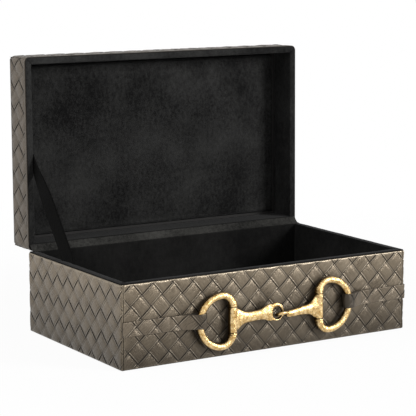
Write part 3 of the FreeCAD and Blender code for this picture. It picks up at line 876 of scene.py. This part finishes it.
# This attribute holds patina in the hollows and a painted dark reflection on faces turned from the front.
patina_and_reflection = add_node(tree, "ShaderNodeAttribute", attribute_name="patina_and_reflection").outputs["Fac"]
patina_reflection_and_pits = arithmetic(tree, "ADD", patina_and_reflection, spread(tree, pits, 0.3, 0.7, -0.3, 0.3))
metal = two_tones(tree, spread(tree, clouds, 0.35, 0.65), gold_deep, gold_light)
pitted = two_tones(tree, spread(tree, pits, 0.51, 0.64), metal, gold_pit)
gold_with_patina_and_reflection = two_tones(tree, spread(tree, patina_reflection_and_pits, 0.3, 0.8), pitted, gold_patina_and_reflection)
tree.links.new(gold_with_patina_and_reflection, shader.inputs["Base Color"])
tree.links.new(spread(tree, pits, 0.3, 0.7, 0.2, 0.42), shader.inputs["Roughness"])
tree.links.new(bump_normal(tree, pits, distance=0.00032), shader.inputs["Normal"])


def station(point, half_a, half_b):
    """Matrix that lays a unit circle at a point, with two half axes."""
    axes = Matrix((half_a, half_b, half_a.cross(half_b).normalized())).transposed()
    return Matrix.Translation(point) @ axes.to_4x4()


def sweep(bm, stations, closed=False):
    """Draw a round section through stations; the ends are capped, or joined in a ring."""
    ring = bmesh.ops.create_circle(bm, segments=tube_sides, radius=1.0)["verts"]
    bmesh.ops.transform(bm, matrix=stations[0], verts=ring)
    edges = list(dict.fromkeys(edge for vert in ring for edge in vert.link_edges))
    first = edges
    for before, after in zip(stations, stations[1:]):
        swept = bmesh.ops.extrude_edge_only(bm, edges=edges)["geom"]
        ring = [item for item in swept if isinstance(item, bmesh.types.BMVert)]
        lines = [item for item in swept if isinstance(item, bmesh.types.BMEdge)]
        edges = [line for line in lines if set(line.verts) <= set(ring)]
        bmesh.ops.transform(bm, matrix=after @ before.inverted(), verts=ring)
    if closed:
        bmesh.ops.bridge_loops(bm, edges=first + edges)
    else:
        bmesh.ops.edgeloop_fill(bm, edges=first)
        bmesh.ops.edgeloop_fill(bm, edges=edges)


def profile(table, s):
    """Value of a table of (place, value) pairs at a place, in straight runs."""
    for (s0, v0), (s1, v1) in zip(table, table[1:]):
        if s <= s1:
            return v0 + (v1 - v0) * max(0, s - s0) / (s1 - s0)
    return table[-1][1]


def cast_surface(bm):
    """Uneven skin of a casting, with the antiquing left in its hollows and a painted dark reflection on its
    sides and back.
    """
    bmesh.ops.recalc_face_normals(bm, faces=bm.faces[:])
    for vert in bm.verts:
        lump = noise.fractal(vert.co / cast_lump, 1.0, 2.0, 3)
        vert.co += vert.normal * cast_roughness * lump
    bm.normal_update()
    patina_and_reflection = bm.verts.layers.float.new("patina_and_reflection")
    around = {vert: [edge.other_vert(vert) for edge in vert.link_edges] for vert in bm.verts}
    for vert in bm.verts:
        ways = [other.co - vert.co for other in around[vert]]
        rise = sum(way.dot(vert.normal) for way in ways)
        hollow = 4 * rise / sum(way.length_squared for way in ways)
        # Painted reflection: faces turned away from the front darken as if they mirrored the dark leather
        # behind.
        turned = (vert.normal.y + reflection_side) / reflection_side_fade
        vert[patina_and_reflection] = min(1, max(0, turned) + min(1, max(0, hollow) * patina_hollow))
    for k in range(patina_and_reflection_passes):
        mean = {vert: sum(other[patina_and_reflection] for other in around[vert]) / len(around[vert]) for vert in bm.verts}
        for vert in bm.verts:
            vert[patina_and_reflection] = (vert[patina_and_reflection] + mean[vert]) / 2


def across(point, side):
    """Point of a ring's own plane, x outwards from the barrel and z from its middle, in the frame."""
    return Vector((barrel_x[side] + side * point[0], bit_y, ring_level[side] + point[1]))


for side, name in ((-1, "left_ring"), (1, "right_ring")):
    route = plan_route([
        (0, barrel_half, 0), (0, ring_loop, ring_corner), (ring_reach, ring_loop, ring_loop),
        (ring_reach, -ring_loop, ring_loop), (0, -ring_loop, ring_corner), (0, -barrel_half, 0)])
    length = sum(piece[0] for piece in route)
    collar = [s for s, radius in collar_profile]
    count = round((length - 2 * collar[-1]) / ring_step)
    middle = [collar[-1] + (length - 2 * collar[-1]) * k / count for k in range(1, count)]
    stations = []
    for s in collar + middle + [length - s for s in reversed(collar)]:
        point, right = route_place(route, s)
        radius = profile(collar_profile, min(s, length - s))
        outwards = Vector((side * right.x, 0, right.y)) * radius
        stations.append(station(across(point, side), outwards, Vector((0, radius, 0))))
    bm = bmesh.new()
    sweep(bm, stations)
    spindle_end = barrel_half + spindle_overlap
    thick_x, thick_y = Vector((spindle_radius, 0, 0)), Vector((0, spindle_radius, 0))
    sweep(bm, [station(across((0, z), side), thick_x, thick_y) for z in (-spindle_end, spindle_end)])
    bm.normal_update()
    cast_surface(bm)
    piece = make_piece(name + "_gold", bm, antique_gold)
    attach(piece, name)
    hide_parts(name)


# ---- Mouthpiece of the bit ----------------------------------------------------------------
# Two cast halves. Each has a barrel that turns on its ring's spindle and a bar that flares
# out of it; the left bar ends in a paddle with an upright eye, the right in a ring through it.

link_y = -96.4
barrel_bore = 2.35
barrel_radius = 4.25
barrel_end = 11.4
left_eye = (2.3, 34.6)
right_eye = (7.6, 32.9)
right_eye_radius = 4.8
right_eye_wire = 1.65
right_eye_tilt = 22.0
eye_steps = 40
left_hole = (4.8, 5.4)
# Outer edge of the left eye: distance from its middle by the angle in degrees.
left_rim = (
    (0, 6.7), (30, 7.3), (60, 8.8), (90, 9.6), (120, 10.3), (140, 10.4), (180, 9.0), (215, 8.5),
    (245, 7.6), (270, 7.0), (315, 6.7), (360, 6.7))
left_eye_depth = 2.0
# Sections of the bars: distance from the barrel's axis, half height, half depth and level.
left_bar = ((2.8, 10.5, 3.2, 33.2), (4.4, 10.1, 3.3, 33.2), (5.6, 9.5, 3.3, 33.3), (7.0, 8.5, 3.3, 33.5),
            (9.0, 7.1, 3.2, 33.8), (11.8, 5.7, 3.2, 34.0), (16.0, 4.9, 3.1, 34.0), (20.3, 4.8, 3.1, 34.3),
            (24.5, 4.8, 3.0, 34.6), (28.8, 5.0, 2.9, 35.0), (32.0, 6.0, 2.8, 35.6), (35.5, 7.3, 2.6, 35.7),
            (38.4, 8.0, 2.4, 35.6), (39.8, 7.9, 2.2, 35.5), (40.5, 7.4, 1.7, 35.4))
right_bar = ((2.8, 10.5, 3.2, 34.6), (4.4, 10.1, 3.3, 34.5), (5.6, 9.4, 3.3, 34.3), (7.0, 8.1, 3.3, 34.0),
             (9.0, 6.4, 3.2, 33.7), (11.9, 5.0, 3.2, 33.4), (16.4, 4.6, 3.1, 33.4), (20.8, 4.1, 3.1, 33.2),
             (25.2, 3.75, 3.0, 32.8), (29.5, 3.7, 2.9, 32.4), (33.9, 3.5, 2.8, 32.1), (37.6, 2.6, 2.5, 32.2))
melt_voxel = 0.42
melt_smooth = 14


def bar_stations(side, eye, sections):
    """Oval sections of a bar, from its barrel to its eye."""
    slant = (link_y - bit_y) / abs(eye[0] - barrel_x[side])
    stations = []
    for s, height, depth, z in sections:
        middle = Vector((barrel_x[side] - side * s, bit_y + slant * s, z))
        stations.append(station(middle, Vector((0, depth, 0)), Vector((0, 0, height))))
    return stations


def barrel(bm, side):
    """Sleeve on a spindle, turned on the barrel's axis."""
    corners = [
        (barrel_bore, -barrel_end), (barrel_radius, -barrel_end),
        (barrel_radius, barrel_end), (barrel_bore, barrel_end)]
    verts = [bm.verts.new((x, 0, z)) for x, z in corners]
    outline = [bm.edges.new((a, b)) for a, b in zip(verts, verts[1:] + verts[:1])]
    bmesh.ops.spin(
        bm, geom=verts + outline, cent=(0, 0, 0), axis=(0, 0, 1), angle=math.tau,
        steps=tube_sides, use_merge=True)
    bmesh.ops.translate(bm, vec=(barrel_x[side], bit_y, ring_level[side]), verts=bm.verts)


def melt(bm):
    """Forms that overlap, melted into one skin as a casting is."""
    mesh = bpy.data.meshes.new("melt")
    bmesh.ops.recalc_face_normals(bm, faces=bm.faces[:])
    bm.to_mesh(mesh)
    bm.free()
    lump = bpy.data.objects.new("melt", mesh)
    bpy.context.scene.collection.objects.link(lump)
    remesh = lump.modifiers.new("remesh", "REMESH")
    remesh.mode = "VOXEL"
    remesh.voxel_size = melt_voxel
    soft = lump.modifiers.new("soft", "SMOOTH")
    soft.iterations = melt_smooth
    result = bmesh.new()
    result.from_object(lump, bpy.context.evaluated_depsgraph_get())
    bpy.data.objects.remove(lump)
    bpy.data.meshes.remove(mesh)
    result.normal_update()
    cast_surface(result)
    return result


bm = bmesh.new()
barrel(bm, -1)
sweep(bm, bar_stations(-1, left_eye, left_bar))
eye_angles = [math.tau * k / eye_steps for k in range(eye_steps)]
stations = []
for angle in eye_angles:
    spoke = Vector((math.cos(angle), 0, math.sin(angle)))
    inner = 1 / math.hypot(math.cos(angle) / left_hole[0], math.sin(angle) / left_hole[1])
    outer = profile(left_rim, math.degrees(angle))
    middle = Vector((left_eye[0], link_y, left_eye[1])) + spoke * (inner + outer) / 2
    stations.append(station(middle, spoke * (outer - inner) / 2, Vector((0, left_eye_depth, 0))))
sweep(bm, stations, closed=True)
left_half = make_piece("left_mouthpiece_gold", melt(bm), antique_gold)

bm = bmesh.new()
barrel(bm, 1)
sweep(bm, bar_stations(1, right_eye, right_bar))
lean = Matrix.Rotation(math.radians(-right_eye_tilt), 3, "X")
stations = []
for angle in eye_angles:
    spoke = lean @ Vector((math.cos(angle), math.sin(angle), 0))
    middle = Vector((right_eye[0], link_y, right_eye[1])) + spoke * right_eye_radius
    stations.append(station(middle, spoke * right_eye_wire, lean @ Vector((0, 0, right_eye_wire))))
sweep(bm, stations, closed=True)
right_half = make_piece("right_mouthpiece_gold", melt(bm), antique_gold)

for piece, name in ((left_half, "left_mouthpiece"), (right_half, "right_mouthpiece")):
    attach(piece, name)
    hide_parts(name)


# ---- Hinges -------------------------------------------------------------------------------
# Two small blackened steel butt hinges, screwed to the back rims, with a pin through their
# knuckles. They hardly show, so the solids stay.

steel_dark = (0.030, 0.028, 0.026, 1.0)
steel_worn = (0.085, 0.080, 0.072, 1.0)

black_steel, tree, shader = new_material("black_steel", metallic=1.0, roughness=0.45)
wear_and_highlight = mottle(tree, place_coordinates(tree), scale=500.0)
steel_tone = two_tones(tree, spread(tree, wear_and_highlight, 0.4, 0.7), steel_dark, steel_worn)
tree.links.new(steel_tone, shader.inputs["Base Color"])
finish_node([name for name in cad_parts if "hinge" in name and name != "hinge_strip"], black_steel)


# ---- Lid cover ----------------------------------------------------------------------------
# One sheet of the woven leather over the top of the lid, its four flaps folded down the sides
# and seamed at the upright corners. The long edges are rounded over the boards.

hinge_y = 89.4
hinge_z = 76.4
lid_open_angle = 90.7
lid_x = 151.5
lid_front = -91.0
lid_back = 90.4
lid_top = 111.3
lid_rim = 76.8
lid_edge_radius = 5.0
lid_weave_anchor = (-169.2, -9.0)
lid_weave_tilt = -3.2
lid_weave_stops = (0.0, 0.014, 0.05, 0.1, 0.13, 0.16, 0.5, 0.84, 0.87, 0.9, 0.95, 0.986)
lid_fold_rows = (-5.0, -3.3, -1.6, 0.0, 1.6, 3.3, 5.0)
lid_back_room = 0.2
rim_roll = 0.8
rim_hem = 3.4
rim_hem_line = 0.35
rim_rows = (
    0.1, 0.28, 0.56, 0.8, 1.4, 2.4, rim_hem - rim_hem_line, rim_hem, rim_hem + rim_hem_line)
hem_line_depth = 0.5 * weave_groove
hem_line_shade = 0.5
hem_edge_shade = 0.9
hem_shade = 0.2

# The same leather in darker tones: painted shade, as the lid catches less light than the base.
lid_leather_dark = (0.070, 0.056, 0.042, 1.0)
lid_leather_light = (0.130, 0.108, 0.084, 1.0)
lid_burnish_and_highlight = 0.1
lid_gloss = (0.38, 0.48)

lid_leather = pressed_leather(
    "lid_leather", lid_leather_dark, lid_leather_light, lid_burnish_and_highlight, lid_gloss,
    foot=1.0, foot_shade_reach=hinge_z * mm)
to_hinge = Matrix.Translation((0, hinge_y, hinge_z))
open_lid = to_hinge @ Matrix.Rotation(math.radians(-lid_open_angle), 4, "X") @ to_hinge.inverted()


def fold_on_lid(point):
    """Place of a point of the flat sheet on the closed lid, its folds rounded."""
    x, y, out = point
    side = max(0, abs(x) - lid_x)
    end = max(0, lid_front - y, y - lid_back)
    drop = max(side, end)
    sharp = Vector((within(x, -lid_x, lid_x), within(y, lid_front, lid_back), lid_top - drop))
    r = lid_edge_radius
    core = Vector((
        within(sharp.x, r - lid_x, lid_x - r), within(sharp.y, lid_front + r, lid_back - r),
        min(sharp.z, lid_top - r)))
    roll = max(0, 1 - (sharp.z - lid_rim) / rim_roll)
    sunk = cover_thickness * (1 - math.sqrt(1 - min(1, roll) ** 2))
    return core + (sharp - core).normalized() * (r + out - sunk)


flap = lid_top - lid_rim
low = (-lid_x - flap, lid_front - flap)
high = (lid_x + flap, lid_back + flap)
sheet = woven_sheet(low, high, lid_weave_anchor, lid_weave_tilt, lid_weave_stops)
for row in rim_rows:
    cut_round(sheet, low, high, row)
for row in lid_fold_rows:
    cut_round(sheet, (-lid_x, lid_front), (lid_x, lid_back), row)


def is_waste(face):
    """A face of the sheet's four corners, which are cut out between the flaps."""
    middle = face.calc_center_median()
    return abs(middle.x) > lid_x and not lid_front < middle.y < lid_back


bmesh.ops.delete(sheet, geom=[face for face in sheet.faces if is_waste(face)], context="FACES")
relief, crest = (sheet.verts.layers.float[key] for key in ("relief", "crest"))
for vert in sheet.verts:
    x, y, out = vert.co
    inset = min(x - low[0], high[0] - x, y - low[1], high[1] - y)
    # The hem is darkened through the relief mask, with painted shade strongest at the rim edge, where the
    # leather meets the suede.
    if abs(inset - rim_hem) < rim_hem_line / 2:
        vert.co.z = -hem_line_depth
        vert[relief] = hem_line_shade
    elif inset < rim_hem:
        vert.co.z = -weave_pillow
        vert[relief] = hem_edge_shade + (hem_shade - hem_edge_shade) * min(1, inset / rim_roll)
        vert[crest] = 0.0
    vert.co = fold_on_lid(vert.co)
rim = [edge for edge in sheet.edges if edge.is_boundary]
back = bmesh.ops.extrude_edge_only(sheet, edges=rim)["geom"]
back_verts = [item for item in back if isinstance(item, bmesh.types.BMVert)]
for vert in back_verts:
    vert.co.z = lid_top - cover_thickness - lid_back_room
    vert.co.x = within(vert.co.x, cover_thickness - lid_x, lid_x - cover_thickness)
    vert.co.y = within(vert.co.y, lid_front + cover_thickness, lid_back - cover_thickness)
back_edges = [item for item in back if isinstance(item, bmesh.types.BMEdge) and item.is_boundary]
bmesh.ops.edgeloop_fill(sheet, edges=back_edges)
bmesh.ops.transform(sheet, matrix=open_lid, verts=sheet.verts)
lid_cover = make_piece("lid_cover_leather", sheet, lid_leather)
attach(lid_cover, "lid")
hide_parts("lid_cover")


# ---- Lid linings --------------------------------------------------------------------------
# The same black suede on the walls of the lid, folded over its rim and mitred in the corners. The
# strip on the back wall has the darker base suede, for painted shade, and its edge is pressed clear of the
# hinges.

lid_core = (-150.5, 150.5, -90.0, 89.4)
lid_flange = 6.0
lid_rim_planes = (77.8, 76.8)
lid_ceiling = 105.3
lid_core_radius = 4.0
knuckle_room = 2.3

lid_suede_dark = (0.0015, 0.0015, 0.0015, 1.0)
lid_suede_light = (0.0275, 0.0275, 0.0266, 1.0)

lid_suede = napped_cloth(
    "lid_suede", lid_suede_dark, lid_suede_light, clouds=320.0, fibres=900.0, relief=0.00022,
    roughness=0.92, sheen_weight=0.06, sheen_roughness=0.5, specular_ior_level=0.1)


def clear_hinge(bm):
    """Press the edge of the back strip clear of the hinges' knuckles, which turn beside it."""
    for vert in bm.verts:
        off = Vector((vert.co.y - hinge_y, vert.co.z - hinge_z))
        if off.length < knuckle_room:
            vert.co.y, vert.co.z = Vector((hinge_y, hinge_z)) + off.normalized() * knuckle_room


for side in ("front", "right", "back", "left"):
    strip = lining_strip(lid_core, lid_flange, lid_rim_planes, lid_ceiling, side, lid_core_radius)
    if side == "back":
        clear_hinge(strip)
    bmesh.ops.transform(strip, matrix=open_lid, verts=strip.verts)
    name = "lid_" + side + "_lining"
    piece = make_piece(name + "_suede", strip, base_suede if side == "back" else lid_suede)
    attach(piece, "lid")
    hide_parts(name)


# ---- Lid pad ------------------------------------------------------------------------------
# Wadded card covered in suede and set into the lid with a narrow gap all round. Its edges are
# full and round, and the cover creases a little along the long edges and near one corner.

lid_pad_half = (142.0, 81.2)
lid_pad_middle = -0.3
lid_pad_thickness = 4.5
lid_pad_crown = 1.0
lid_pad_edge = 3.0
lid_pad_cap = 0.6
lid_pad_creases = (
    ((102, -65), (50, -63.5), (2, -63)), ((108, 76), (40, 75.8), (-55, 76.2)),
    ((-86, -80), (-100, -57), (-126, -4)))
lid_pad_crease_depth = 0.5
lid_pad_crease_reach = 2.6

cover = pad_sheet(*lid_pad_half, lid_pad_thickness, lid_pad_crown, lid_pad_edge, pad_rows)
lid_cushion = make_piece("lid_pad_suede", cover, lid_suede)
plump(lid_cushion, lid_pad_cap * mm)
crease(lid_cushion, lid_pad_creases, lid_pad_crease_depth, lid_pad_crease_reach)
close_card(lid_cushion)
metres = Matrix.Scale(mm, 4)
face_down = Matrix.Translation((0, lid_pad_middle, lid_ceiling)) @ Matrix.Rotation(math.pi, 4, "Y")
lid_cushion.data.transform(metres @ open_lid @ face_down @ metres.inverted())
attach(lid_cushion, "lid")
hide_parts("lid_pad")


# ---- Ribbon -------------------------------------------------------------------------------
# Black satin ribbon from the left wall of the base to the left wall of the lid. It stops the
# lid; its lower half has turned a little towards the front.

ribbon_foot = (18.9, 68.0)
ribbon_head = (96.46, 163.3)
ribbon_x = -144.0
ribbon_half_width = 5.5
ribbon_half_thickness = 0.3
ribbon_rows = 60
ribbon_twist = -46.0
ribbon_twist_start = 0.12
ribbon_twist_end = 0.95
ribbon_untwist = 0.4
ribbon_lift = 0.35
ribbon_bow = 0.3

ribbon_dark = (0.0008, 0.0008, 0.0008, 1.0)
ribbon_light = (0.0050, 0.0050, 0.0047, 1.0)

ribbon_satin, tree, shader = new_material("ribbon_satin", roughness=0.6, specular_ior_level=0.03)
ribs = mottle(tree, place_coordinates(tree), scale=1500.0, detail=3.0)
satin_tone = two_tones(tree, spread(tree, ribs, 0.35, 0.65), ribbon_dark, ribbon_light)
tree.links.new(satin_tone, shader.inputs["Base Color"])
tree.links.new(bump_normal(tree, ribs, distance=0.00012), shader.inputs["Normal"])

foot = Vector((ribbon_x, *ribbon_foot))
head = Vector((ribbon_x, *ribbon_head))
right = Vector((1, 0, 0))
flatwise = (head - foot).normalized().cross(right)
band = solid_box(
    (-ribbon_half_width, 0, -ribbon_half_thickness), (ribbon_half_width, 1, ribbon_half_thickness))
for k in range(1, ribbon_rows):
    cut(band, (0, k / ribbon_rows, 0), (0, 1, 0))
for k in range(-2, 3):
    cut(band, (k * ribbon_half_width / 3, 0, 0), (1, 0, 0))
for vert in band.verts:
    w, t, n = vert.co
    ease = within(t / ribbon_twist_start, 0, 1) * within((ribbon_twist_end - t) / ribbon_untwist, 0, 1)
    ease = ease * ease * (3 - 2 * ease)
    angle = math.radians(ribbon_twist) * ease
    wide = flatwise * math.cos(angle) + right * math.sin(angle)
    face = right * math.cos(angle) - flatwise * math.sin(angle)
    lift = ribbon_lift * ribbon_half_width * abs(math.sin(angle))
    bow = ribbon_bow * math.sin(math.pi * t) ** 2
    vert.co = foot + (head - foot) * t + wide * w + face * n + right * lift + flatwise * bow
stay = make_piece("stay_ribbon_satin", band, ribbon_satin)
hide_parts("stay_ribbon")
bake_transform(stay, "base", "lid", start=tuple(foot * mm), end=tuple(head * mm))


# ---- Hinge strip --------------------------------------------------------------------------
# Suede strip that bridges the back rim of the base and the rim of the open lid, over the hinges.
# Its lower edge laps onto the base's rim, where it is glued, and fits the gap under the shut lid.

bridge_half = 150.0
bridge_foot = (84.0, 76.4)
bridge_head = (89.4, 81.8)
bridge_half_thickness = 0.3
bridge_sag = 0.5
bridge_lap = 2.5
bridge_rows = 8
bridge_columns = 36
# A lighter copy of the suede: painted light on the strip, which faces up towards the lamps.
bridge_suede_dark = (0.008, 0.008, 0.0075, 1.0)
bridge_suede_light = (0.055, 0.054, 0.050, 1.0)

bridge_suede_lit = napped_cloth(
    "bridge_suede_lit", bridge_suede_dark, bridge_suede_light, clouds=320.0, fibres=900.0, relief=0.00022,
    roughness=0.92, specular_ior_level=0.1)

slope = Vector((0, bridge_head[0] - bridge_foot[0], bridge_head[1] - bridge_foot[1]))
lap_share = bridge_lap / slope.length
band = solid_box(
    (-bridge_half, -lap_share, -bridge_half_thickness), (bridge_half, 1, bridge_half_thickness))
for k in range(bridge_rows):
    cut(band, (0, k / bridge_rows, 0), (0, 1, 0))
for k in range(1, bridge_columns):
    cut(band, ((2 * k / bridge_columns - 1) * bridge_half, 0, 0), (1, 0, 0))
up = Vector((0, 0, 1))
face = right.cross(slope.normalized())
mitre = (face + up).normalized()
mitre /= mitre.dot(up)
for vert in band.verts:
    x, t, n = vert.co
    foot = Vector((x, *bridge_foot))
    if abs(t) < 0.01:
        vert.co = foot + mitre * n
    elif t < 0:
        vert.co = foot + Vector((0, t * slope.length, n))
    else:
        sag = bridge_sag * math.sin(math.pi * t)
        vert.co = foot + slope * t + face * (n - sag)
bridge = make_piece("hinge_strip_suede", band, bridge_suede_lit)
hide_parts("hinge_strip")
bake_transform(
    bridge, "base", "lid", start=(0, bridge_foot[0] * mm, bridge_foot[1] * mm),
    end=(0, bridge_head[0] * mm, bridge_head[1] * mm))


# ---- Stage --------------------------------------------------------------------------------
# White sweep of a product studio: a pale floor that runs out into a white backdrop, one large
# soft lamp at the right front, a weaker one at the left, and a long lens.

floor_size = 4.0
floor_near = 0.25
floor_far = 0.75
floor_veil = 0.95
floor_white = (0.93, 0.93, 0.93, 1.0)
sky_light = 0.30
lamps = (
    ("key", (1.85, -2.3, 1.15), 0.9, 86.0),
    ("left", (-1.9, 0.15, 0.9), 1.2, 25.5),
)
lamp_target = (0.0, 0.0, 0.09)
camera_place = (-0.83734, -1.32910, 0.37410)
camera_target = (-0.00303, 0.01131, 0.11480)
camera_lens = 147.75
camera_sensor = 36.0


def seen_rays(tree):
    """1 for the rays that show the backdrop: camera, mirror and glass rays."""
    path = add_node(tree, "ShaderNodeLightPath").outputs
    camera_or_glossy = arithmetic(tree, "MAXIMUM", path["Is Camera Ray"], path["Is Glossy Ray"])
    return arithmetic(tree, "MAXIMUM", camera_or_glossy, path["Is Transmission Ray"])


def aim(item, place, target):
    """Stand a lamp or camera at a place and turn it to its target."""
    item.location = place
    item.rotation_euler = (Vector(target) - Vector(place)).to_track_quat("-Z", "Y").to_euler()
    bpy.context.scene.collection.objects.link(item)


studio_floor, tree, shader = new_material("studio_floor", roughness=0.95, specular_ior_level=0.1)
shader.inputs["Base Color"].default_value = floor_white
glow = add_node(tree, "ShaderNodeEmission", {"Color": (1, 1, 1, 1), "Strength": 1.0})
distance = add_node(tree, "ShaderNodeVectorMath", {0: place_coordinates(tree)}, operation="LENGTH")
fade = spread(tree, distance.outputs["Value"], floor_near, floor_far, floor_veil, 1.0)
share = arithmetic(tree, "MULTIPLY", seen_rays(tree), fade)
mixed = add_node(tree, "ShaderNodeMixShader", {
    0: share, 1: shader.outputs["BSDF"], 2: glow.outputs["Emission"]})
output = next(node for node in tree.nodes if node.type == "OUTPUT_MATERIAL")
tree.links.new(mixed.outputs[0], output.inputs["Surface"])
bm = bmesh.new()
bmesh.ops.create_grid(bm, x_segments=1, y_segments=1, size=floor_size / mm)
floor = make_piece("studio_floor", bm, studio_floor, smooth=False)

world = bpy.data.worlds.new("studio")
bpy.context.scene.world = world
world.use_nodes = True
tree = world.node_tree
tree.nodes.clear()
light = add_node(tree, "ShaderNodeBackground", {"Color": (1, 1, 1, 1), "Strength": sky_light})
white = add_node(tree, "ShaderNodeBackground", {"Color": (1, 1, 1, 1), "Strength": 1.0})
mixed = add_node(tree, "ShaderNodeMixShader", {
    0: seen_rays(tree), 1: light.outputs["Background"], 2: white.outputs["Background"]})
add_node(tree, "ShaderNodeOutputWorld", {"Surface": mixed.outputs[0]})

for name, place, size, power in lamps:
    lamp = bpy.data.lights.new(name, "AREA")
    lamp.size = size
    lamp.energy = power
    aim(bpy.data.objects.new(name, lamp), place, lamp_target)

lens = bpy.data.cameras.new("camera")
lens.lens = camera_lens
lens.sensor_width = camera_sensor
camera = bpy.data.objects.new("camera", lens)
aim(camera, camera_place, camera_target)
bpy.context.scene.camera = camera
bpy.context.scene.view_settings.view_transform = "Standard"
